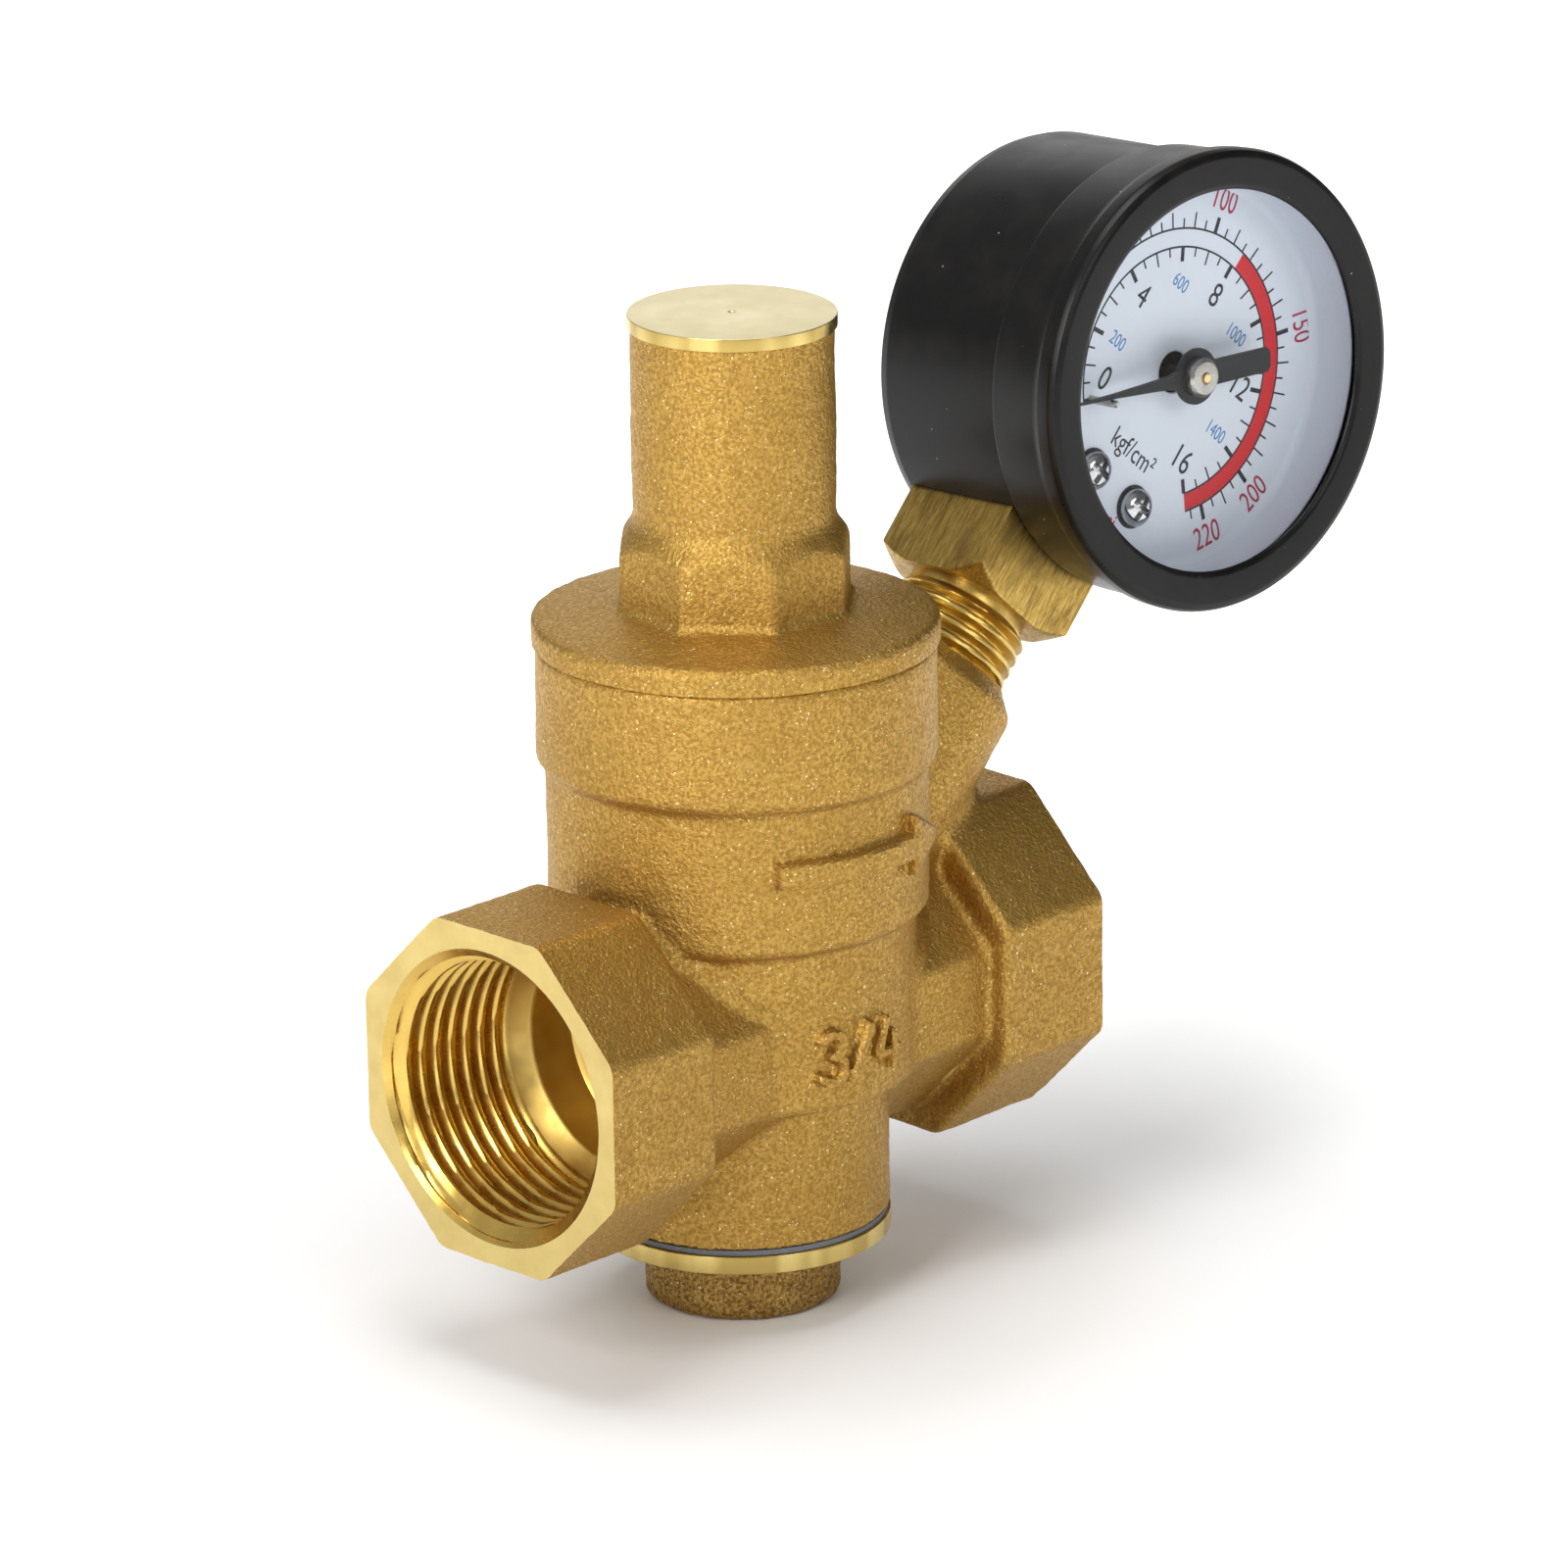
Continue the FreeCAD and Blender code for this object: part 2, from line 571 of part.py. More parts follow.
def bourdon_tube():
    """Flattened C-shaped tube from the inner block round to its free end."""
    depth, start = 4.0, 104.0
    section = Part.Ellipse(V(tube_r, depth + 1.8, 0), V(tube_r + 0.5, depth, 0), V(tube_r, depth, 0))
    face = Part.Face(Part.Wire(section.toShape()))
    face.rotate(CENTRE, BACK, start)
    swept = face.revolve(CENTRE, BACK, 360 - tube_end_angle - start)
    block = box(-5.5, 5.5, inner_block_front, case_back, -17.0, inner_block_top)
    return on_gauge(swept.cut([block, rod(1.3, 0.3, 6.2, BACK, tube_end())]))


def tube_tip():
    return on_gauge(rod(1.3, 0.3, 6.2, BACK, tube_end()))


def link():
    """Flat bar from the tube's tip to the sector's tail, with its pin at the tail."""
    bearing = math.radians(sector_bearing + sector_sweep / 2)
    tail = SECTOR_PIVOT + V(3.0 * math.sin(bearing), 0, 3.0 * math.cos(bearing))
    start = tube_end()
    along = (tail - start).normalize()
    across = along.cross(BACK) * 0.6
    corners = [start + across, tail + across, tail - across, start - across]
    bar = prism([V(p.x, -0.3, p.z) for p in corners], 0.6, BACK)
    ends = [rod(0.9, -0.3, 0.3, BACK, place) for place in (start, tail)]
    pin = rod(0.4, -0.77, 0.0, BACK, tail)
    return on_gauge(bar.multiFuse(ends + [pin]).removeSplitter())


def pointer():
    """Needle, wide tail, hub disc and sleeve on the arbor."""
    turn = math.radians(rest_angle)
    front, back = blade_front, blade_back
    blade = gear_prism([(needle_r, 0.0), (2.2, 0.30), (tail_r, math.pi - 0.115),
                        (tail_r, math.pi + 0.115), (2.2, -0.30)], CENTRE, turn, front, back)
    hub = rod(hub_r, front, back + 0.3, BACK)
    sleeve = rod(1.1, back, dial_face - 1.0, BACK)
    return on_gauge(blade.multiFuse([hub, sleeve]).cut(rod(0.6, -15, -8, BACK)).removeSplitter())


def pointer_cap():
    front = blade_front - cap_hub_height
    return on_gauge(lathe([(0.4, blade_front), (cap_hub_r, blade_front),
                           (cap_hub_r, front + 0.35), (cap_hub_r - 0.3, front), (0.4, front)],
                          CENTRE, BACK))


def hairspring():
    """Flat spiral between the arbor and a stud on the front plate."""
    turns, inner_r, outer_r, strip = 4.0, 1.0, 4.6, 0.14

    def spiral(offset):
        count = 96
        points = []
        for step in range(count + 1):
            angle = 2 * math.pi * turns * step / count
            radius = inner_r + (outer_r - inner_r) * step / count + offset
            points.append(V(radius * math.cos(angle), -2.9, radius * math.sin(angle)))
        curve = Part.BSplineCurve()
        curve.interpolate(points)
        return curve.toShape(), points[0], points[-1]

    inside, inside_start, inside_end = spiral(0.0)
    outside, outside_start, outside_end = spiral(strip)
    wire = Part.Wire([inside, Part.LineSegment(inside_end, outside_end).toShape(), outside,
                      Part.LineSegment(outside_start, inside_start).toShape()])
    return on_gauge(Part.Face(wire).extrude(BACK * 0.5))


def hairspring_stud():
    return on_gauge(rod(0.5, plate_front + plate_thick, -2.3, BACK, V(5.24, 0, 0)))


BUILDERS = {
    "valve_body": valve_body,
    "seat_insert": seat_insert,
    "bonnet": bonnet,
    "bonnet_gasket": bonnet_gasket,
    "bottom_plug": bottom_plug,
    "plug_gasket": plug_gasket,
    "top_cap": top_cap,
    "cap_oring": cap_oring,
    "adjusting_screw": adjusting_screw,
    "spring_seat": spring_seat,
    "regulating_spring": regulating_spring,
    "piston": piston,
    "piston_oring": piston_oring,
    "valve_stem": valve_stem,
    "disc_washer": lambda: tube(stem_r, 4.2, disc_top, disc_top + 1.0),
    "valve_disc": lambda: tube(stem_r, 6.2, disc_z, disc_top),
    "disc_holder": disc_holder,
    "lock_nut": lock_nut,
    "gauge_socket": gauge_socket,
    "gauge_case": gauge_case,
    "bezel_ring": bezel_ring,
    "lens": lens,
    "lens_gasket": lens_gasket,
    "dial_plate": dial_plate,
    "dial_spacers": dial_spacers,
    "dial_screws": dial_screws,
    "case_screws": case_screws,
    "stop_pin": stop_pin,
    "arbor_pinion": arbor_pinion,
    "pointer": pointer,
    "pointer_cap": pointer_cap,
    "sector_gear": sector_gear,
    "sector_arbor": sector_arbor,
    "movement_front_plate": lambda: movement_plate(plate_front),
    "movement_back_plate": lambda: movement_plate(plate_back),
    "movement_pillars": movement_pillars,
    "bourdon_tube": bourdon_tube,
    "tube_tip": tube_tip,
    "link": link,
    "hairspring": hairspring,
    "hairspring_stud": hairspring_stud,
}


def main():
    os.makedirs("parts", exist_ok=True)
    for name, build in BUILDERS.items():
        shape = build()
        solids = shape.Solids
        shape = solids[0] if len(solids) == 1 else Part.makeCompound(solids)
        print(f"{name:22s} solids {len(solids)} valid {shape.isValid()} volume {shape.Volume:9.1f}")
        shape.exportStep(f"parts/{name}.step")


main()
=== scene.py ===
import json
import math

import bmesh
import bpy
import numpy as np
from mathutils import Matrix, Vector, geometry, noise


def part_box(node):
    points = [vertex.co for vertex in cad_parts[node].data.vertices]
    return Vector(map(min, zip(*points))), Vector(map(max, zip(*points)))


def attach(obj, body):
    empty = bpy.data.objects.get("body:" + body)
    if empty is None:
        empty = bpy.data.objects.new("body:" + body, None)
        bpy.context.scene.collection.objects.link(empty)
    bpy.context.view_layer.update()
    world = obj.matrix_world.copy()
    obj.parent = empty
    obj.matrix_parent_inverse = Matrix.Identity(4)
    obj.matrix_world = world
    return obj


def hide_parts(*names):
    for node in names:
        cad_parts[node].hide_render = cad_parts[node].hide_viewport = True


MM = 0.001
TINY = 1e-6
TAU = 2 * math.pi
UP = Vector((0, 0, 1))
LEVEL = Vector((1, 0, 0)), Vector((0, 1, 0))

# Looks of the pressure reducing valve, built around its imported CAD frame.
#
# The builders work in millimetres in the frame's own axes, and make_piece() turns them into
# metres.  +Z is up the stem, +X is the flow direction, and the gauge's dial faces -Y.
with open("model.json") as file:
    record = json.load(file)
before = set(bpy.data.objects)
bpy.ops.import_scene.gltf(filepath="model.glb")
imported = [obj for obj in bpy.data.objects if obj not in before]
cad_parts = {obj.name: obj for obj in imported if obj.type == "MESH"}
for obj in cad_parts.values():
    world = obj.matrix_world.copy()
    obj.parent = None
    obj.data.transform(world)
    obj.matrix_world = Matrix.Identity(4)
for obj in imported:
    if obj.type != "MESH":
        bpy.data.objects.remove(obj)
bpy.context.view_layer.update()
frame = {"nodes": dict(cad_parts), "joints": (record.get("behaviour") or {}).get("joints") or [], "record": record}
record = frame["record"]
mounts = {mount["name"]: mount for mount in record["mounts"]}
joints = {joint["name"]: joint for joint in frame["joints"]}


def node_span(node, axis):
    """Lowest and highest coordinate of a CAD node on one axis, in millimetres."""
    low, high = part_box(node)
    return low[axis] / MM, high[axis] / MM


# ---- places read from the frame
pipe_z = mounts["outlet_thread"]["pos_m"][2] / MM
crest_r = mounts["outlet_thread"]["dims"]["r_mm"]
thread_length = mounts["outlet_thread"]["dims"]["length_mm"]
half_length = node_span("valve_body", 0)[1]
gasket_z, body_z = node_span("plug_gasket", 2)
skirt_z = node_span("bonnet", 2)[0]
neck_top_z = node_span("bonnet", 2)[1]
cap_spigot_z, cap_top_z = node_span("top_cap", 2)
cap_r = node_span("top_cap", 0)[1]
gauge_centre = Vector(joints["pointer_turn"]["pos_m"]) / MM
gauge_back = Vector(joints["pointer_turn"]["axis"]).normalized()

# ---- pipe ends
end_flats, end_length = 31.0, 12.9
neck_half, neck_diagonal = 13.3, 12.3
port_chamfer_r, shoulder_r, pocket_end = 13.6, 10.4, 20.5
g34_pitch, g34_major_r = 1.814, 13.22
thread_crest, thread_flank = 0.22, 0.72     # shares of half a pitch
passage_r, inlet_passage_z, outlet_passage_z = 4.6, 20.3, 36.8

# ---- body column
body_top_z = 62.0
gasket_bore_r, cylinder_r, cylinder_mouth_r, seam_gap = 10.8, 13.0, 15.0, 0.02
arrow_rise, size_mark_rise, size_mark_stroke = 1.15, 1.1, 0.44
column_r, belly_r, waist_r, band_r = 13.35, 15.9, 17.1, 17.9
belly_z, waist_z, band_z = 22.4, 37.9, 51.6
arrow_z, arrow_half_length, arrow_head_length = 45.1, 10.0, 5.5
arrow_head_half, arrow_shaft_half = 3.0, 1.2
size_mark_x, size_mark_z = -1.2, 27.2

# ---- gauge port
port_foot = Vector((0, 0, 25.5))
port_axis = (gauge_centre - port_foot).normalized()
port_boss_r, port_mouth = 8.6, 38.2
g14_major_r, g14_minor_r, g14_pitch = 6.58, 5.72, 1.337

# ---- bonnet
dome_r, dome_top_z, dome_edge = 18.2, 65.5, 1.7
neck_r, neck_bore_r = 9.05, 6.9
collar_flats, collar_turn, collar_top_z, collar_slope = 20.0, -4.5, 73.2, 0.7
m15_pitch, m15_depth = 1.0, 0.5

# ---- bottom plug
foot_r, foot_flats, ring_r, ring_z, spigot_z = 9.1, 17.7, 13.5, 6.4, 15.0

# ---- gauge, in its own axes: x across the dial, y out of its back, z up the dial
case_r, case_wall, case_back = 20.07, 0.5, 8.83
bezel_rear, bezel_front, bezel_r, window_r = -7.6, -16.35, 21.2, 17.45
lens_back, lens_front = -14.6, -15.6
dial_face, dial_back = -10.0, -9.5
blade_front, blade_back, needle_r, tail_r, hub_r = -13.0, -12.6, 14.6, 9.4, 2.6
block_side, block_bottom = 13.4, -26.3
screw_x, screw_z, screw_head_r, screw_head_height = 3.3, -12.45, 1.75, 1.35
cap_hub_r, cap_hub_height = 1.8, 1.15
zero_angle, full_angle, full_scale, rest_angle = -135.0, 135.0, 16.0, -131.6
inner_scale_r, outer_scale_r = 11.5, 13.2
psi_per_unit = 14.22


def gauge_matrix():
    """From the gauge's own axes to the valve's, both in millimetres."""
    across = gauge_back.cross(port_axis).normalized()
    turn = Matrix((across, gauge_back, port_axis)).transposed().to_4x4()
    return Matrix.Translation(gauge_centre) @ turn


GAUGE = gauge_matrix()
BACKWARD = Matrix(((1, 0, 0, 0), (0, 0, 1, 0), (0, -1, 0, 0), (0, 0, 0, 1)))


# ================================================================== distance fields

def soft_union(a, b, blend):
    """Smooth minimum of two distances, which leaves a fillet between the shapes."""
    part = np.clip(0.5 + 0.5 * (b - a) / blend, 0, 1)
    return b * (1 - part) + a * part - blend * part * (1 - part)


def soft_common(a, b, blend):
    return -soft_union(-a, -b, blend)


def drum(radius, along, r_max, low, high, edge):
    """Round bar between two heights with rounded edges; radius and along are the point's own."""
    out = radius - (r_max - edge)
    past = np.abs(along - (low + high) / 2) - ((high - low) / 2 - edge)
    outside = np.hypot(np.maximum(out, 0), np.maximum(past, 0))
    return outside + np.minimum(np.maximum(out, past), 0) - edge


def octagon_distance(u, v, half, diagonal, edge):
    """Eight-sided bar with rounded edges: half across the flats, and to its diagonal faces."""
    square = soft_common(np.abs(u) - half, np.abs(v) - half, edge)
    return soft_common(square, (np.abs(u) + np.abs(v)) / math.sqrt(2) - diagonal, edge)


def surface_net(field, low, high, step):
    """Points and quads on the zero surface of a field of (x, y, z), moved onto it exactly."""
    axes = [np.arange(a, b + step, step) for a, b in zip(low, high)]
    values = field(*np.meshgrid(*axes, indexing="ij", sparse=True))
    values = np.broadcast_to(values, [len(a) for a in axes]).astype(np.float32)
    inside = values < 0
    cells = np.array(values.shape) - 1
    strides = np.array([cells[1] * cells[2], cells[2], 1])
    crossings = []
    for axis in range(3):
        first = [slice(None)] * 3
        second = [slice(None)] * 3
        first[axis], second[axis] = slice(None, -1), slice(1, None)
        first, second = tuple(first), tuple(second)
        at = np.argwhere(inside[first] != inside[second])
        a, b = values[first][tuple(at.T)], values[second][tuple(at.T)]
        point = at.astype(float)
        point[:, axis] += a / (a - b)
        side = [(axis + 1) % 3, (axis + 2) % 3]
        around = []
        for back, down in ((1, 1), (0, 1), (0, 0), (1, 0)):
            cell = at.copy()
            cell[:, side[0]] -= back
            cell[:, side[1]] -= down
            around.append(cell @ strides)
        crossings.append((np.array(around).T, point, a < 0))
    owner = np.concatenate([c[0].ravel() for c in crossings])
    points = np.concatenate([np.repeat(c[1], 4, axis=0) for c in crossings])
    index = np.unique(owner, return_inverse=True)[1]
    count = np.bincount(index)
    net = np.stack([np.bincount(index, points[:, k]) / count for k in range(3)], 1)
    net = net * step + np.array([a[0] for a in axes])
    quads, start = [], 0
    for around, _, outward in crossings:
        quad = index[start:start + around.size].reshape(around.shape)
        start += around.size
        quads.append(np.where(outward[:, None], quad, quad[:, ::-1]))
    quads = np.concatenate(quads)
    for turn in range(4):
        net = step_to_surface(field, net, step)[0]
        if turn == 0:
            net = evened(net, quads)
    return net, quads


def evened(points, quads):
    """Points moved halfway to the mean of their neighbours, which evens out the net."""
    ends = np.concatenate([quads, np.roll(quads, -1, axis=1)], 0).ravel()
    others = np.concatenate([np.roll(quads, -1, axis=1), quads], 0).ravel()
    count = np.bincount(ends, minlength=len(points))
    mean = np.stack([np.bincount(ends, points[others, k], len(points)) / count
                     for k in range(3)], 1)
    return (points + mean) / 2


def step_to_surface(field, points, step):
    """One Newton step onto a field's surface; also gives the outward directions."""
    reach = step * 0.25
    value = field(*points.T)
    slope = np.stack([(field(*(points + reach * unit).T) - field(*(points - reach * unit).T))
                      for unit in np.eye(3)], 1) / (2 * reach)
    length = np.maximum(np.linalg.norm(slope, axis=1, keepdims=True), 1e-6)
    move = np.clip(value[:, None] / length, -step, step)
    return points - move * slope / length, slope / length


def cast_surface(field, low, high, step, layers):
    """A cast skin: the field's surface, raised and sunk by layers of (height, size) noise."""
    points, quads = surface_net(field, low, high, step)
    _, outward = step_to_surface(field, points, step)
    height = np.zeros(len(points))
    for amount, size in layers:
        height += [amount * noise.noise(Vector(p) / size) for p in points]
    return points + outward * height[:, None], quads


# ================================================================== meshes

class Shape:
    """A mesh being built in millimetres, with a material number for each face."""

    def __init__(self):
        self.mesh = bmesh.new()

    def add(self, points, faces):
        """New points and the faces between them, numbered from the first new point."""
        verts = self.ring_of(points)
        for face in faces:
            self.mesh.faces.new([verts[k] for k in face])

    def ring_of(self, points):
        """New points with nothing between them yet."""
        return [self.mesh.verts.new(p) for p in points]

    def strip(self, first, second, material=0):
        """Quads between two rings of as many points."""
        for a, b, c, d in zip(first, first[1:] + first[:1], second[1:] + second[:1], second):
            self.mesh.faces.new([a, b, c, d]).material_index = material

    def rings(self, rows, material=0, start=None):
        """Tube through rows of points; returns its first and last ring."""
        first = last = start or self.ring_of(rows[0])
        for row in rows[0 if start else 1:]:
            ring = self.ring_of(row)
            self.strip(last, ring, material)
            last = ring
        return first, last

    def fan(self, ring, tip):
        """Triangles from a ring to one new point."""
        tip = self.mesh.verts.new(tip)
        for vert, after in zip(ring, ring[1:] + ring[:1]):
            self.mesh.faces.new([vert, after, tip])

    def close(self, *rings):
        """A flat end over each ring."""
        for ring in rings:
            self.mesh.faces.new(ring)

    def cut(self, point, normal, near=None):
        """Cut flat across the mesh, drop what is beyond, and return the rim's points."""
        if near is None:
            picked = self.mesh.verts[:] + self.mesh.edges[:] + self.mesh.faces[:]
        else:
            faces = [f for f in self.mesh.faces if near(f.calc_center_median())]
            edges = list(dict.fromkeys(e for f in faces for e in f.edges))
            picked = faces + edges + list(dict.fromkeys(v for e in edges for v in e.verts))
        made = bmesh.ops.bisect_plane(self.mesh, geom=picked, dist=1e-5, plane_co=point,
                                      plane_no=normal, clear_outer=True)
        on_rim = [g for g in made["geom_cut"] if isinstance(g, bmesh.types.BMVert)]
        return [v for v in on_rim if v.is_valid and v.is_boundary]

    def flat_ring(self, outer, inner, centre, across, material):
        """Fill the flat area between an outer rim and an inner ring, both around a centre."""
        u, v = across

        def place(vert):
            away = vert.co - centre
            return Vector((away.dot(u), away.dot(v)))

        outer = sorted(outer, key=lambda vert: math.atan2(place(vert).y, place(vert).x))
        rims = [ring for ring in (outer, inner) if ring]
        verts = [vert for ring in rims for vert in ring]
        edges, start = [], 0
        for ring in rims:
            edges += [(start + k, start + (k + 1) % len(ring)) for k in range(len(ring))]
            start += len(ring)
        flat, _, faces, origin, _, _ = geometry.delaunay_2d_cdt(
            [place(vert) for vert in verts], edges, [], 1, 1e-7)
        if inner:
            hub = sum((place(vert) for vert in inner), Vector((0, 0))) / len(inner)
            hub_r = (place(inner[0]) - hub).length
        for face in faces:
            middle = sum((flat[k] for k in face), Vector((0, 0))) / len(face)
            if inner and (middle - hub).length < hub_r * math.cos(math.pi / len(inner)):
                continue
            corners = [verts[origin[k][0]] for k in face if origin[k]]
            if len(corners) == 3 and len(set(corners)) == 3:
                self.mesh.faces.new(corners).material_index = material


def put(name, data):
    """New object in the scene."""
    made = bpy.data.objects.new(name, data)
    bpy.context.scene.collection.objects.link(made)
    return made


def finished(name, shape, materials, place=None):
    """Turn a Shape into an object, in metres."""
    bmesh.ops.recalc_face_normals(shape.mesh, faces=shape.mesh.faces)
    mesh = bpy.data.meshes.new(name)
    shape.mesh.transform(Matrix.Scale(MM, 4) @ (place or Matrix.Identity(4)))
    shape.mesh.to_mesh(mesh)
    shape.mesh.free()
    for material in materials:
        mesh.materials.append(material)
    return put(name, mesh)


def make_piece(name, shape, body, materials, replaces=(), place=None, crease=32):
    """Finish a Shape as an object that rides on a body and wears the given materials."""
    piece = finished(name, shape, materials, place)
    piece.data.shade_smooth()
    piece.data.set_sharp_from_angle(angle=math.radians(crease))
    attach(piece, body)
    if replaces:
        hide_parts(*replaces)


def softened(profile, radius):
    """A closed (r, z) outline with each corner off the axis turned into a small arc."""
    points = [Vector(p) for p in profile]
    out, steps = [], 4
    for k, corner in enumerate(points):
        before, after = points[k - 1] - corner, points[(k + 1) % len(points)] - corner
        if min(corner.x, before.length, after.length) < TINY:
            out.append(corner)
            continue
        reach = min(radius, before.length * 0.45, after.length * 0.45)
        start = corner + before.normalized() * reach
        end = corner + after.normalized() * reach
        for step in range(steps + 1):
            t = step / steps
            out.append(start * (1 - t) ** 2 + corner * 2 * t * (1 - t) + end * t * t)
    return out


def share(value):
    """A value kept between 0 and 1."""
    return min(max(value, 0.0), 1.0)


def turns_of(count):
    """As many angles, evenly round a circle."""
    return [TAU * k / count for k in range(count)]


def circle(radius, height, count):
    """Ring of points about the z axis."""
    return [Vector((radius * math.cos(turn), radius * math.sin(turn), height))
            for turn in turns_of(count)]


def turned(shape, profile, count, radius):
    """Add a closed solid of revolution from an (r, z) outline with softened edges."""
    outline = softened(profile, radius)
    poles = [p for p in outline if p.x < TINY]
    while poles and outline[0].x > TINY:
        outline = outline[1:] + outline[:1]
    poles = [p for p in outline if p.x < TINY]
    rings = [shape.ring_of(circle(p.x, p.y, count)) for p in outline if p.x > TINY]
    for first, second in zip(rings, rings[1:]):
        shape.strip(first, second)
    if not poles:
        shape.strip(rings[-1], rings[0])
        return
    shape.fan(rings[0], (0, 0, poles[0].y))
    shape.fan(rings[-1], (0, 0, poles[-1].y))


def thread_height(along, turn, pitch):
    """0 at a thread's crest and 1 at its root, for a right-hand thread with round flanks."""
    phase = (along / pitch - turn / TAU) % 1.0
    ramp = share((1 - abs(2 * phase - 1) - thread_crest) / thread_flank)
    return ramp * ramp * (3 - 2 * ramp)


def threaded_rows(wall, depths, level, count):
    """Rings of wall(depth, turn) radii about the z axis, each at its level(depth)."""
    return [[Vector((wall(depth, turn) * math.cos(turn), wall(depth, turn) * math.sin(turn),
                     level(depth))) for turn in turns_of(count)] for depth in depths]


# ================================================================== shader helpers

def new_node(nodes, kind, **values):
    """New shader node with these input values; an input's name has _ for each space."""
    node = nodes.new("ShaderNode" + kind)
    for socket, value in values.items():
        node.inputs[socket.replace("_", " ")].default_value = value
    return node


class Paint:
    """A node material with short calls for the patterns that the finishes share."""

    def __init__(self, name, roughness, metallic, **sockets):
        self.material = bpy.data.materials.new(name)
        self.material.use_nodes = True
        tree = self.material.node_tree
        self.nodes, self.link = tree.nodes, tree.links.new
        self.shader = self.nodes["Principled BSDF"]
        self.shader.inputs["Roughness"].default_value = roughness
        self.shader.inputs["Metallic"].default_value = metallic
        for socket, value in sockets.items():
            self.shader.inputs[socket.replace("_", " ")].default_value = value
        self.place = new_node(self.nodes, "TexCoord").outputs["Object"]

    def stretched(self, lengths, turn=(0, 0, 0)):
        """Object coordinates in turned axes, with patterns drawn out by three factors."""
        node = new_node(self.nodes, "Mapping", Rotation=turn, Scale=lengths)
        node.vector_type = "TEXTURE"
        self.link(self.place, node.inputs["Vector"])
        return node.outputs["Vector"]

    def noise(self, size, detail=2.0, rough=0.5, vector=None):
        """Noise with features of about this size, in millimetres."""
        node = new_node(self.nodes, "TexNoise", Scale=1 / (size * MM), Detail=detail,
                        Roughness=rough)
        self.link(vector or self.place, node.inputs["Vector"])
        return node.outputs["Fac"]

    def cells(self, size):
        """Distance to the nearest of many scattered points this far apart, in millimetres."""
        node = new_node(self.nodes, "TexVoronoi", Scale=1 / (size * MM))
        self.link(self.place, node.inputs["Vector"])
        return node.outputs["Distance"]

    def ramp(self, source, *stops):
        """Colour ramp from (position, colour or grey) stops."""
        node = new_node(self.nodes, "ValToRGB")
        elements = node.color_ramp.elements
        while len(elements) < len(stops):
            elements.new(0.5)
        for element, (position, colour) in zip(elements, stops):
            element.position = position
            if isinstance(colour, (int, float)):
                colour = (colour, colour, colour)
            element.color = (*colour, 1)
        self.link(source, node.inputs["Fac"])
        return node.outputs["Color"]

    def mix(self, factor, first, second):
        """Mix two colours, each a socket or a constant, by a factor from another socket."""
        node = new_node(self.nodes, "Mix")
        node.data_type = "RGBA"
        self.link(factor, node.inputs[0])
        for socket, value in ((node.inputs[6], first), (node.inputs[7], second)):
            if isinstance(value, bpy.types.NodeSocket):
                self.link(value, socket)
            else:
                socket.default_value = (*value, 1)
        return node.outputs[2]

    def bump(self, height, depth, strength=1.0, under=None):
        """Bump of this depth in millimetres, on top of another bump."""
        node = new_node(self.nodes, "Bump", Distance=depth * MM, Strength=strength)
        self.link(height, node.inputs["Height"])
        if under:
            self.link(under, node.inputs["Normal"])
        return node.outputs["Normal"]

    def finish(self, colour, roughness=None, normal=None):
        for source, socket in ((colour, "Base Color"), (roughness, "Roughness"),
                               (normal, "Normal")):
            if source:
                self.link(source, self.shader.inputs[socket])
        return self.material


def cast_brass(name, dark, mid, light, painted_glint):
    """Sand-cast, blasted brass: coarse grain, bright specks of painted highlight (glints) and slow patches of
    colour.
    """
    paint = Paint(name, 0.46, 1.0)
    grain = 0.34
    fine = paint.noise(grain, 2.0, 0.6)
    coarse = paint.noise(grain * 3.2, 2.0)
    patches = paint.noise(8.0, 3.0)
    colour = paint.ramp(fine, (0.38, dark), (0.50, mid), (0.66, light))
    colour = paint.mix(paint.ramp(patches, (0.35, 0.0), (0.70, 0.3)), colour, dark)
    # Painted highlights: small bright glint specks mixed into the colour.
    painted_glint_specks = paint.ramp(paint.noise(grain * 0.75, 1.0), (0.69, 0.0), (0.76, 0.9))
    colour = paint.mix(painted_glint_specks, colour, painted_glint)
    rough = paint.ramp(fine, (0.35, 0.60), (0.70, 0.42))
    normal = paint.bump(coarse, 0.12, 0.7)
    normal = paint.bump(fine, 0.14, 1.0, normal)
    return paint.finish(colour, rough, normal)


def turned_brass(name, base, shade, roughness, axis=2, wear_and_painted_reflection=0.8):
    """Lathe-turned brass: fine tool rings about an axis, and darker bars along it painted in as streaks of
    reflection.
    """
    paint = Paint(name, roughness, 1.0)
    marks = paint.stretched([50.0 if k != axis else 1.0 for k in range(3)])
    rings = paint.noise(0.11, 2.0, 0.6, marks)
    # Painted reflection: darker bars drawn out along the axis stand in for the streaks a turned surface reflects;
    # the last argument sets their strength.
    painted_reflection_bars = paint.stretched([20.0 if k == axis else 1.0 for k in range(3)])
    dark = paint.ramp(paint.noise(3.4, 1.5, 0.5, painted_reflection_bars), (0.42, 0.0), (0.58, wear_and_painted_reflection))
    colour = paint.mix(dark, base, shade)
    rough = paint.ramp(paint.noise(1.6, 3.0), (0.3, roughness * 0.8), (0.7, roughness * 1.25))
    return paint.finish(colour, rough, paint.bump(rings, 0.004, 0.8))


def faced_brass(name, base, shade, roughness):
    """Flat faced brass, almost matt, with a very fine even grain."""
    paint = Paint(name, roughness, 1.0)
    fine = paint.noise(0.16, 3.0, 0.6)
    patches = paint.noise(3.0, 4.0, 0.6)
    colour = paint.mix(paint.ramp(patches, (0.35, 0.0), (0.75, 0.55)), base, shade)
    rough = paint.ramp(patches, (0.3, roughness * 0.85), (0.7, roughness * 1.2))
    return paint.finish(colour, rough, paint.bump(fine, 0.012, 0.7))


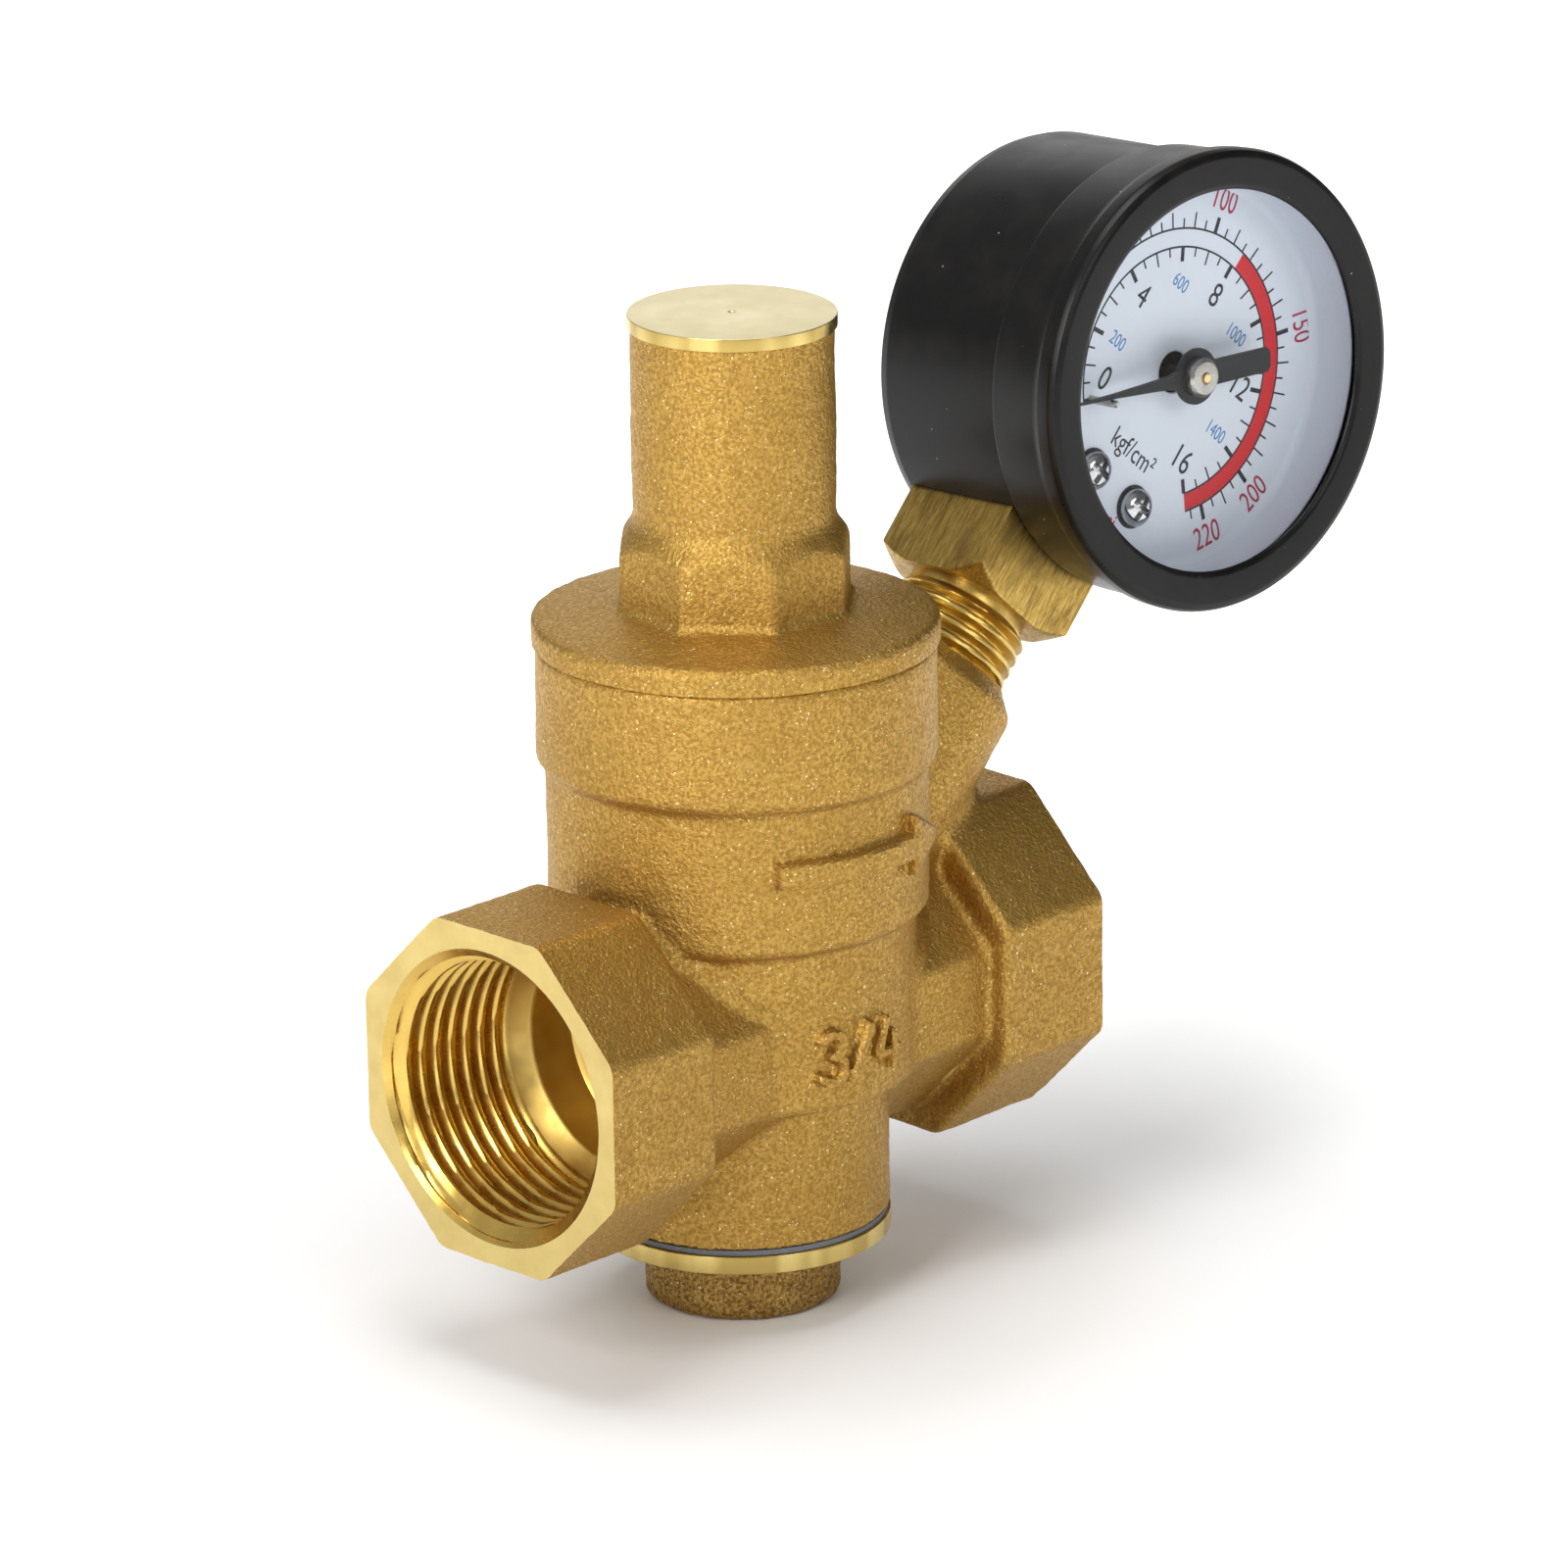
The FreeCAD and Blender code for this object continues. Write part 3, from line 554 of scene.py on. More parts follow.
def drawn_brass(name, turn):
    """Drawn bar stock: fine lines, scratches and rubs along the bar, whose axes have this turn."""
    paint = Paint(name, 0.34, 1.0)
    lines = paint.noise(0.22, 3.0, 0.7, paint.stretched((1.0, 1.0, 9.0), turn))
    rubs = paint.noise(1.3, 4.0, 0.7, paint.stretched((1.0, 1.0, 3.5), turn))
    across = paint.noise(0.3, 3.0, 0.7, paint.stretched((6.0, 6.0, 1.0), turn))
    colour = paint.ramp(lines, (0.30, (0.26, 0.155, 0.032)), (0.52, (0.49, 0.32, 0.078)),
                        (0.70, (0.66, 0.465, 0.14)))
    colour = paint.mix(paint.ramp(rubs, (0.50, 0.0), (0.66, 0.7)), colour, (0.20, 0.125, 0.04))
    colour = paint.mix(paint.ramp(across, (0.60, 0.0), (0.70, 0.45)), colour, (0.24, 0.15, 0.045))
    rough = paint.ramp(rubs, (0.3, 0.34), (0.7, 0.52))
    return paint.finish(colour, rough, paint.bump(lines, 0.015, 0.8))


def plain_metal(name, colour, roughness):
    """Small metal parts: a light grain and a slight change of shade."""
    paint = Paint(name, roughness, 1.0)
    shade = [c * 0.72 for c in colour]
    patches = paint.noise(1.5, 3.0)
    mixed = paint.mix(paint.ramp(patches, (0.35, 0.0), (0.7, 0.8)), colour, shade)
    rough = paint.ramp(patches, (0.3, roughness * 0.8), (0.7, roughness * 1.2))
    return paint.finish(mixed, rough, paint.bump(paint.noise(0.3, 2.0), 0.006, 0.6))


def black_enamel(name):
    """Satin black enamel with a faint orange peel, dust specks and rubbed patches."""
    paint = Paint(name, 0.33, 0.0, Specular_IOR_Level=0.24)
    dust = paint.ramp(paint.cells(2.6), (0.018, 1.0), (0.034, 0.0))
    wear_and_painted_reflection = paint.noise(4.0, 4.0, 0.6)
    colour = paint.mix(paint.ramp(wear_and_painted_reflection, (0.45, 0.0), (0.75, 1.0)), (0.0035, 0.0032, 0.0030),
                       (0.0085, 0.0075, 0.0068))
    colour = paint.mix(dust, colour, (0.42, 0.40, 0.37))
    rough = paint.ramp(wear_and_painted_reflection, (0.3, 0.27), (0.7, 0.38))
    return paint.finish(colour, rough, paint.bump(paint.noise(0.45, 2.0), 0.006, 0.6))


def dull_solid(name, colour, roughness, grain, depth, spread=0.25):
    """Rubber, fibre and printing ink: one colour with a grain."""
    paint = Paint(name, roughness, 0.0)
    fine = paint.noise(grain, 3.0, 0.6)
    lighter = [min(1.0, c * (1 + spread) + 0.003) for c in colour]
    mixed = paint.mix(paint.ramp(fine, (0.35, 0.0), (0.65, 1.0)), colour, lighter)
    rough = paint.ramp(fine, (0.3, roughness * 0.9), (0.7, min(1.0, roughness * 1.1)))
    return paint.finish(mixed, rough, paint.bump(fine, depth, 0.6))


def clear_glass(name):
    """Thin flat window: what is behind shows through, with a reflection that grows at a slant."""
    material = bpy.data.materials.new(name)
    material.use_nodes = True
    nodes, links = material.node_tree.nodes, material.node_tree.links
    nodes.remove(nodes["Principled BSDF"])
    clear = new_node(nodes, "BsdfTransparent", Color=(0.985, 0.99, 0.995, 1))
    gloss = new_node(nodes, "BsdfGlossy")
    smudge = new_node(nodes, "TexNoise", Scale=1 / (6 * MM))
    rough = new_node(nodes, "MapRange", To_Min=0.01, To_Max=0.06)
    links.new(smudge.outputs["Fac"], rough.inputs["Value"])
    links.new(rough.outputs["Result"], gloss.inputs["Roughness"])
    facing = new_node(nodes, "Fresnel", IOR=1.12)
    mix = new_node(nodes, "MixShader")
    links.new(facing.outputs["Fac"], mix.inputs["Fac"])
    links.new(clear.outputs["BSDF"], mix.inputs[1])
    links.new(gloss.outputs["BSDF"], mix.inputs[2])
    links.new(mix.outputs["Shader"], nodes["Material Output"].inputs["Surface"])
    return material


CAST = cast_brass("cast_brass", (0.37, 0.215, 0.047), (0.46, 0.275, 0.064),
                  (0.56, 0.355, 0.092), (1.0, 0.88, 0.52))
# Darker cast brass for the bottom plug.
FOOT = cast_brass("cast_brass_darker_foot", (0.20, 0.112, 0.030), (0.36, 0.215, 0.058),
                  (0.52, 0.345, 0.11), (0.95, 0.80, 0.45))
FACED = faced_brass("faced_brass", (0.66, 0.515, 0.20), (0.56, 0.42, 0.145), 0.44)
THREADED = turned_brass("threaded_brass", (0.72, 0.49, 0.125), (0.52, 0.32, 0.065), 0.27,
                        axis=0, wear_and_painted_reflection=0.2)
BORED = turned_brass("bored_brass", (0.62, 0.43, 0.12), (0.46, 0.29, 0.07), 0.40, axis=0, wear_and_painted_reflection=0.3)
CAP_FACE = faced_brass("cap_brass", (0.80, 0.71, 0.43), (0.75, 0.65, 0.38), 0.40)
TURNED = turned_brass("turned_brass", (0.68, 0.53, 0.19), (0.42, 0.29, 0.08), 0.30)
DRAWN = drawn_brass("drawn_brass", GAUGE.to_euler())
STEM = plain_metal("stem_brass", (0.66, 0.46, 0.13), 0.33)
MOVEMENT = plain_metal("movement_brass", (0.83, 0.62, 0.27), 0.30)
STAINLESS = plain_metal("stainless", (0.60, 0.60, 0.60), 0.28)
WIRE = plain_metal("spring_wire", (0.30, 0.30, 0.31), 0.34)
NICKEL = plain_metal("nickel", (0.46, 0.44, 0.40), 0.30)
CHROME = plain_metal("bright_screw", (0.58, 0.58, 0.58), 0.16)
BLACK = black_enamel("black_enamel")
POINTER = dull_solid("pointer_black", (0.006, 0.006, 0.006), 0.5, 0.3, 0.004)
RUBBER = dull_solid("black_rubber", (0.018, 0.018, 0.018), 0.62, 0.25, 0.006)
FIBRE = dull_solid("grey_fibre", (0.13, 0.135, 0.15), 0.75, 0.3, 0.03)
DIAL = dull_solid("dial_white", (0.74, 0.79, 0.86), 0.4, 0.5, 0.002, 0.03)
INK_BLACK = dull_solid("ink_black", (0.015, 0.015, 0.02), 0.5, 0.2, 0.001)
INK_RED = dull_solid("ink_red", (0.62, 0.012, 0.018), 0.45, 0.2, 0.001)
INK_CRIMSON = dull_solid("ink_crimson", (0.40, 0.018, 0.055), 0.5, 0.2, 0.001)
INK_BLUE = dull_solid("ink_blue", (0.05, 0.22, 0.48), 0.5, 0.2, 0.001)
GLASS = clear_glass("lens_clear")


# ================================================================== pressure body

CAST_LAYERS = [(0.09, 7.0), (0.05, 1.9), (0.05, 0.9)]
CAST_STEP = 0.44


def arrow_distance(x, z):
    """Plain arrow along +X in the plane of the front."""
    tip, tail, away = arrow_half_length, -arrow_half_length, np.abs(z - arrow_z)
    head = tip - arrow_head_length
    bar = np.maximum(np.abs(x - (tail + head) / 2) - (head - tail) / 2, away - arrow_shaft_half)
    lean = arrow_head_half / math.hypot(arrow_head_half, arrow_head_length)
    barb = np.maximum(head - x, (x - tip) * lean + away * math.sqrt(1 - lean ** 2))
    return np.minimum(bar, barb)


def stroke_distance(x, z, points, half):
    """Distance to a round-ended line through points in the plane of the front."""
    nearest = np.full(np.broadcast(x, z).shape, 1e3)
    for (ax, az), (bx, bz) in zip(points, points[1:]):
        dx, dz = bx - ax, bz - az
        part = np.clip(((x - ax) * dx + (z - az) * dz) / (dx * dx + dz * dz), 0, 1)
        nearest = np.minimum(nearest, np.hypot(x - ax - dx * part, z - az - dz * part))
    return nearest - half


def size_mark_distance(x, z):
    """Cast thread size, 3/4, as plain strokes about 4.6 mm tall."""
    u, v = x - size_mark_x, z - size_mark_z
    bows = [[(-3.4 + bow_r * math.cos(a), centre + bow_r * math.sin(a))
             for a in np.linspace(math.radians(first), math.radians(last), 9)]
            for bow_r, centre, first, last in ((1.05, 1.2, 150, -90), (1.25, -1.1, 90, -150))]
    strokes = bows + [[(-1.3, -2.3), (0.7, 2.3)],
                      [(4.0, -2.3), (4.0, 0.7)], [(2.8, 2.3), (1.8, -0.8), (4.8, -0.8)]]
    marks = [stroke_distance(u, v, points, size_mark_stroke) for points in strokes]
    return np.minimum.reduce(marks)


def body_field(x, y, z):
    radius = np.hypot(x, y)
    up = z - pipe_z
    column = drum(radius, z, column_r, body_z, belly_z + 4, 0.35)
    for step_r, low, high, edge, blend in ((belly_r, belly_z - 0.6, waist_z + 4, 0.7, 0.9),
                                           (waist_r, waist_z - 0.6, band_z + 4, 0.8, 1.1),
                                           (band_r, band_z - 0.5, body_top_z, 0.7, 1.1)):
        column = soft_union(column, drum(radius, z, step_r, low, high, edge), blend)
    arrow = soft_common(arrow_distance(x, z), np.abs(radius - waist_r) - arrow_rise, 0.5)
    size_mark = soft_common(size_mark_distance(x, z),
                            np.abs(radius - belly_r) - size_mark_rise, 0.35)
    raised = np.maximum(np.minimum(arrow, size_mark), y)
    column = soft_union(column, raised, 0.35)
    neck = octagon_distance(y, up, neck_half, neck_diagonal, 0.5)
    neck = np.maximum(neck, np.abs(x) - (half_length - 3))
    ends = octagon_distance(y, up, end_flats / 2, end_flats / 2, 0.6)
    inner = half_length - end_length
    ends = soft_common(ends, inner - np.abs(x), 0.9)
    ends = np.maximum(ends, np.abs(x) - half_length - 1)
    pipe = soft_union(neck, ends, 0.9)
    dx, dz = x - port_foot.x, z - port_foot.z
    along = dx * port_axis.x + dz * port_axis.z
    away = np.sqrt(np.maximum(dx * dx + y * y + dz * dz - along * along, 0))
    boss = drum(away, along, port_boss_r, 4.0, port_mouth + 1.0, 0.5)
    taper = (away - port_boss_r + (along - port_mouth + 1.9) * 0.95) * 0.725
    boss = soft_common(boss, taper, 0.5)
    bead = np.hypot(column + 0.2, pipe + 0.2) - 1.1 * np.clip((up - 2.5) / 3.0, 0, 1)
    body = soft_union(soft_union(column, pipe, 0.7), bead, 0.45)
    return soft_union(body, boss, 1.6)


def port_wall(shape, side, rim):
    """Machined end face, helical thread, shoulder and pocket of one pipe end."""
    count, steps = 144, 13
    chamfer = port_chamfer_r - crest_r
    thread_end = chamfer + thread_length
    centre = Vector((side * half_length, 0, pipe_z))
    across = (Vector((0, -side, 0)), UP)

    def place(depth, radius, turn):
        swing = radius * math.cos(turn), radius * math.sin(turn)
        return centre - Vector((side * depth, 0, 0)) + across[0] * swing[0] + across[1] * swing[1]

    def wall(depth, turn):
        fade = share((thread_end + 0.2 - depth) / g34_pitch)
        cut = thread_height(depth, turn, g34_pitch) * (g34_major_r - crest_r) * fade
        return max(port_chamfer_r - depth, crest_r + cut)

    turns = turns_of(count)
    depths = np.arange(0, thread_end + 0.01, g34_pitch / steps)
    rows = [[place(d, wall(d, turn), turn) for turn in turns] for d in depths]
    rounding = [(thread_end + 0.05, crest_r), (thread_end + 0.15, crest_r - 0.05),
                (thread_end + 1.45, shoulder_r + 0.22), (thread_end + 1.6, shoulder_r + 0.06),
                (thread_end + 1.8, shoulder_r), (pocket_end - 1.2, shoulder_r),
                (pocket_end - 0.5, shoulder_r - 0.25), (pocket_end - 0.12, shoulder_r - 0.8),
                (pocket_end, shoulder_r - 1.5)]
    mouth, root = shape.rings(rows, 2)
    _, pocket = shape.rings([[place(d, r, turn) for turn in turns] for d, r in rounding], 3, root)
    shape.flat_ring(rim, mouth, centre, across, 1)
    passage_z = outlet_passage_z if side > 0 else inlet_passage_z
    drop = min(max(passage_z - pipe_z, -(shoulder_r - 1.6 - passage_r)),
               shoulder_r - 1.6 - passage_r)
    hole_rows = [[centre - Vector((side * depth, 0, 0)) + across[0] * passage_r * math.cos(turn)
                  + across[1] * (drop + passage_r * math.sin(turn)) for turn in turns]
                 for depth in (pocket_end, pocket_end + 2.5)]
    lip, end = shape.rings(hole_rows, 3)
    end_centre = centre - Vector((side * pocket_end, 0, 0))
    shape.flat_ring(pocket, lip, end_centre, across, 3)
    shape.mesh.faces.new(end).material_index = 3


def inner_wall(shape, outline, first, last, material):
    """Surface of revolution through (r, z) points between two rims already in the mesh."""
    rows = [circle(r, z, len(first)) for r, z in outline]
    _, ring = shape.rings(rows, material, first)
    shape.strip(ring, last, material)


def body_casting():
    low = (-half_length - 1.5, -19.0, body_z - 1.0)
    high = (half_length + 1.5, 19.0, body_top_z + 1.0)
    shape = Shape()
    points, quads = cast_surface(body_field, low, high, CAST_STEP, CAST_LAYERS)
    shape.add(points.tolist(), quads.tolist())
    for side in (-1, 1):
        rim = shape.cut((side * half_length, 0, 0), (side, 0, 0))
        port_wall(shape, side, rim)
    mouth_point = port_foot + port_axis * port_mouth

    def on_boss(point):
        away = point - port_foot
        along = away.dot(port_axis)
        return along > port_mouth - 5 and (away - port_axis * along).length < 9.2

    rim = shape.cut(mouth_point, port_axis, on_boss)
    side_way = Vector((0, 1, 0))
    across = (port_axis.cross(side_way), side_way)
    hole = [[port_foot + port_axis * along + across[0] * r * math.cos(turn)
             + across[1] * r * math.sin(turn) for turn in turns_of(120)]
            for r, along in ((g14_major_r + 0.35, port_mouth), (g14_major_r, port_mouth - 0.4),
                             (g14_major_r, port_mouth - 8.5))]
    mouth, end = shape.rings(hole, 2)
    shape.flat_ring(rim, mouth, mouth_point, across, 1)
    shape.mesh.faces.new(end).material_index = 2
    low_z, high_z = body_z + seam_gap, body_top_z - seam_gap
    bottom = shape.cut((0, 0, low_z), (0, 0, -1))
    top = shape.cut((0, 0, high_z), (0, 0, 1))
    low_ring = shape.ring_of(circle(gasket_bore_r, low_z, 144))
    high_ring = shape.ring_of(circle(cylinder_mouth_r, high_z, 144))
    shape.flat_ring(bottom, low_ring, UP * low_z, LEVEL, 1)
    shape.flat_ring(top, high_ring, UP * high_z, LEVEL, 1)
    inner_wall(shape, [(gasket_bore_r, 15.0), (7.6, 15.0), (7.6, 28.5), (7.0, 28.5), (7.0, 32.0),
                       (7.8, 32.0), (7.8, 43.5), (cylinder_r, 43.5), (cylinder_r, 54.7),
                       (cylinder_mouth_r, 54.7)],
               low_ring, high_ring, 2)
    make_piece("body_casting", shape, "valve", [CAST, FACED, THREADED, BORED],
               ["valve_body"])


def bonnet_field(x, y, z):
    radius = np.hypot(x, y)
    dome = drum(radius, z, dome_r, body_top_z - 2.0, dome_top_z + 0.25, dome_edge)
    slope = z - dome_top_z + (radius - collar_flats / 2) * 0.16
    dome = soft_common(dome, slope, 0.6)
    turn = math.radians(collar_turn)
    u, v = x * math.cos(turn) + y * math.sin(turn), y * math.cos(turn) - x * math.sin(turn)
    collar = octagon_distance(u, v, collar_flats / 2, collar_flats / 2, 0.2)
    cone = (radius - neck_r - collar_slope * (collar_top_z - z)) / math.hypot(1, collar_slope)
    collar = soft_common(collar, cone, 0.3)
    collar = np.maximum(collar, body_top_z - z)
    neck = drum(radius, z, neck_r, body_top_z, neck_top_z + 1.5, 0.3)
    return soft_union(soft_union(dome, collar, 0.75), neck, 0.5)


def bonnet_casting():
    low, high = (-19.5, -19.5, body_top_z - 3), (19.5, 19.5, neck_top_z + 2.5)
    shape = Shape()
    points, quads = cast_surface(bonnet_field, low, high, CAST_STEP, CAST_LAYERS)
    shape.add(points.tolist(), quads.tolist())
    top = shape.cut((0, 0, neck_top_z), (0, 0, 1))
    seam = shape.cut((0, 0, body_top_z), (0, 0, -1))
    count, steps = 128, 10

    def bore(depth, turn):
        cut = thread_height(depth, turn, m15_pitch) * m15_depth * min(depth / m15_pitch, 1.0)
        return max(neck_bore_r + 0.5 - depth, neck_bore_r + cut * 0.8)

    rows = threaded_rows(bore, np.arange(0, neck_top_z - 73.0, m15_pitch / steps),
                         lambda depth: neck_top_z - depth, count)
    mouth, root = shape.rings(rows, 2)
    shape.flat_ring(top, mouth, UP * neck_top_z, LEVEL, 1)
    skirt = shape.ring_of(circle(cylinder_mouth_r, body_top_z, count))
    inner_wall(shape, [(neck_bore_r, 72.9), (neck_bore_r, 67.0), (cylinder_r, 62.5),
                       (cylinder_r, skirt_z), (cylinder_mouth_r, skirt_z)], root, skirt, 2)
    shape.flat_ring(seam, skirt, UP * body_top_z, LEVEL, 1)
    make_piece("bonnet_casting", shape, "valve", [CAST, FACED, TURNED], ["bonnet"])


def foot_field(x, y, z):
    radius = np.hypot(x, y)
    foot = drum(radius, z, foot_r, 0.0, ring_z + 4, 1.3)
    flats = octagon_distance(x, y, foot_flats / 2, foot_flats / 2, 0.6)
    return soft_common(foot, flats, 0.5)


def plug_casting():
    shape = Shape()
    points, quads = cast_surface(foot_field, (-10.5, -10.5, -0.9), (10.5, 10.5, ring_z + 5.5),
                                 0.3, [(0.09, 1.1), (0.05, 0.6)])
    points[:, 2] = np.maximum(points[:, 2], 0.0)
    shape.add(points.tolist(), quads.tolist())
    rim = shape.cut((0, 0, ring_z + 0.1), (0, 0, 1))
    shape.flat_ring(rim, [], UP * (ring_z + 0.1), LEVEL, 0)
    make_piece("plug_casting", shape, "valve", [FOOT], ["bottom_plug"])


def plug_ring():
    """Turned flange of the bottom plug with its threaded spigot."""
    shape = Shape()
    turned(shape, [(0, ring_z), (ring_r, ring_z), (ring_r, gasket_z), (gasket_bore_r, gasket_z),
                   (gasket_bore_r, spigot_z), (8.5, spigot_z), (8.5, 9.2), (4.5, 9.2),
                   (4.5, spigot_z), (2.55, spigot_z), (2.55, 9.4), (0, 9.4)], 200, 0.14)
    make_piece("plug_ring", shape, "valve", [TURNED], ["bottom_plug"])


def gasket_ring():
    shape = Shape()
    edge_r = column_r - 0.12
    turned(shape, [(gasket_bore_r, gasket_z), (edge_r, gasket_z), (edge_r, body_z),
                   (gasket_bore_r, body_z)], 200, 0.08)
    make_piece("gasket_ring", shape, "valve", [FIBRE], ["plug_gasket"])


def turned_cap():
    """Cap: flat faced top with a punch mark, knife-sharp rim and a threaded spigot."""
    shape = Shape()
    count, steps, spigot_r = 144, 10, neck_bore_r - 0.05
    rim_z = neck_top_z + 0.03
    groove_top, groove_low = 89.1, 87.9
    punch_z = cap_top_z - 0.28
    outline = softened([(0, punch_z), (0.42, cap_top_z), (cap_r, cap_top_z), (cap_r, rim_z),
                        (spigot_r, rim_z), (spigot_r, groove_top), (6.0, groove_top),
                        (6.0, groove_low), (spigot_r - 0.55, groove_low), (0, groove_low)], 0.1)
    rows = [circle(r, z, count) for r, z in outline if r > TINY]
    thread_top = groove_low - 0.1

    def wall(depth, turn):
        length = thread_top - cap_spigot_z
        fade = min(depth / m15_pitch, 1.0) * min((length - depth) / m15_pitch, 1.0)
        return spigot_r - 0.55 * (1 - fade) - thread_height(depth, turn, m15_pitch) * 0.5 * fade

    rows += threaded_rows(wall, np.arange(0, thread_top - cap_spigot_z, m15_pitch / steps),
                          lambda depth: thread_top - depth, count)
    first, last = shape.rings(rows)
    shape.fan(first, (0, 0, punch_z))
    shape.close(last)
    for face in shape.mesh.faces:
        middle = face.calc_center_median()
        if middle.z > cap_top_z - 0.02 or middle.xy.length < 0.5:
            face.material_index = 1
    make_piece("turned_cap", shape, "cap", [TURNED, CAP_FACE], ["top_cap"])


# ================================================================== gauge

def gauge_turned(name, profile, body, materials, replaces, count=200, radius=0.12):
    """Solid of revolution about the dial's axis, from (radius, depth) points."""
    shape = Shape()
    turned(shape, profile, count, radius)
    make_piece(name, shape, body, materials, replaces, GAUGE @ BACKWARD)


def block_field(x, y, z):
    half = block_side / 2
    square = soft_common(np.abs(x) - half, np.abs(y) - half, 0.12)
    square = soft_common(square, np.maximum(block_bottom - z, z + 16.5), 0.12)
    radius = np.hypot(x, y)
    cone = (radius - (half + 0.55) - (z - block_bottom) * 1.55) / math.hypot(1, 1.55)
    square = soft_common(square, cone, 0.16)
    case = case_r - 0.03 - np.hypot(x, z)
    return np.maximum(square, np.minimum(case, case_back + 0.5 - np.abs(y + 3)))


def gauge_block():
    """Square block with a turned lower edge, undercut and a helical thread down into the boss."""
    shape = Shape()
    half = block_side / 2 + 0.8
    points, quads = surface_net(block_field, (-half, -half, block_bottom - 0.8),
                                (half, half, -15.0), 0.22)
    height = [0.016 * noise.noise(Vector(p) / 1.4) for p in points]
    points[:, 2] += height
    shape.add(points.tolist(), quads.tolist())
    stem = Shape()
    count, steps = 144, 14
    mouth = port_mouth - (gauge_centre - port_foot).length
    length = block_bottom - 0.55 - mouth + 4.0

    def wall(down, turn):
        fade = share(down - 0.15)
        deep = (g14_major_r - g14_minor_r) * thread_height(down, turn, g14_pitch)
        return g14_minor_r * (1 - fade) + (g14_major_r - deep) * fade

    rows = [circle(g14_minor_r, block_bottom + 0.4, count)]
    rows += threaded_rows(wall, np.arange(0, length, g14_pitch / steps),
                          lambda down: block_bottom - 0.5 - down, count)
    first, last = stem.rings(rows)
    stem.close(first, last)
    make_piece("gauge_stem", stem, "valve", [STEM], [], GAUGE)
    make_piece("gauge_block", shape, "valve", [DRAWN], ["gauge_socket"], GAUGE)


def gauge_shell():
    inner, corner = case_r - case_wall, 1.9
    back = case_back
    case = [(case_r, -13.0), (case_r, back - corner), (case_r - 0.25, back - 0.9),
            (case_r - 0.9, back - 0.25), (case_r - corner, back), (0, back), (0, back - 0.8),
            (inner - 1.0, back - 0.8), (inner, back - 1.8), (inner, -13.0)]
    gauge_turned("case_shell", case, "valve", [BLACK], ["gauge_case"], 240)
    front, rear = bezel_front, bezel_rear
    bezel = [(case_r - 0.02, rear), (case_r + 0.44, rear), (case_r + 0.56, rear - 0.2),
             (bezel_r - 0.42, front + 3.2), (bezel_r - 0.34, front + 2.7),
             (bezel_r, front + 2.3), (bezel_r + 0.06, front + 0.8), (bezel_r - 0.2, front + 0.2),
             (bezel_r - 0.75, front), (window_r + 0.5, front + 0.12),
             (window_r + 0.12, front + 0.3), (window_r, front + 0.55),
             (window_r + 0.25, lens_front + 0.02), (case_r - 0.02, lens_front + 0.02)]
    gauge_turned("bezel", bezel, "valve", [BLACK], ["bezel_ring"], 260, 0.16)
    gauge_turned("window", [(0, lens_front), (case_r - 0.15, lens_front),
                            (case_r - 0.15, lens_back), (0, lens_back)],
                 "valve", [GLASS], ["lens"], 160, 0.08)


def dial_pan():
    """White dial with an upturned rim that reaches the glass, and the hole for the arbor."""
    rim_r, top = 18.3, lens_back + 0.1
    outline = [(1.9, dial_face), (rim_r - 0.85, dial_face), (rim_r - 0.25, dial_face - 0.5),
               (rim_r, dial_face - 1.6), (rim_r, top), (rim_r + 0.25, top),
               (rim_r + 0.25, dial_back), (1.9, dial_back)]
    gauge_turned("dial_pan", outline, "valve", [DIAL], ["dial_plate"], 200, 0.3)


def on_dial(radius, degrees, lift=0.0):
    """Point on the dial's face, at an angle clockwise from its top."""
    turn = math.radians(degrees)
    return Vector((radius * math.sin(turn), dial_face - lift, radius * math.cos(turn)))


def scale_angle(value):
    return zero_angle + (full_angle - zero_angle) * value / full_scale


def arc_band(shape, inner, outer, start, end, lift=0.015, centre=Vector((0, 0, 0))):
    """Thin raised arc on the dial between two angles, about a point of the dial."""
    steps = max(2, int(abs(end - start) / 1.5))
    angles = [start + (end - start) * k / steps for k in range(steps + 1)]
    first, last = shape.rings([
        [centre + on_dial(inner, angle), centre + on_dial(inner, angle, lift),
         centre + on_dial(outer, angle, lift), centre + on_dial(outer, angle)]
        for angle in angles])
    shape.close(first, last)


def tick(shape, inner, outer, degrees, width):
    """Thin radial line on the dial."""
    along = on_dial(1, degrees) - on_dial(0, degrees)
    side = Vector((along.z, 0, -along.x)) * width / 2
    low = [on_dial(inner, degrees) + side, on_dial(inner, degrees) - side,
           on_dial(outer, degrees) - side, on_dial(outer, degrees) + side]
    high = [p - Vector((0, 0.018, 0)) for p in low]
    shape.add(low + high, [(0, 1, 2, 3), (4, 5, 6, 7), (0, 1, 5, 4), (1, 2, 6, 5), (2, 3, 7, 6),
                           (3, 0, 4, 7)])


def print_words(shape, words, x, z, size, degrees=0.0, squeeze=0.8):
    """Raised printing on the dial, centred on a point and turned clockwise."""
    curve = bpy.data.curves.new("words", "FONT")
    curve.body, curve.size, curve.extrude = words, size, 0.008
    curve.align_x, curve.align_y = "CENTER", "CENTER"
    curve.resolution_u = 5
    holder = bpy.data.objects.new("words", curve)
    mesh = bpy.data.meshes.new_from_object(holder)
    turn = Matrix.Rotation(math.radians(degrees), 4, "Y")
    upright = Matrix(((squeeze, 0, 0, 0), (0, 0, -1, 0), (0, 1, 0, 0), (0, 0, 0, 1)))
    mesh.transform(Matrix.Translation((x, dial_face - 0.01, z)) @ turn @ upright)
    shape.mesh.from_mesh(mesh)
    bpy.data.objects.remove(holder)
    bpy.data.curves.remove(curve)
    bpy.data.meshes.remove(mesh)


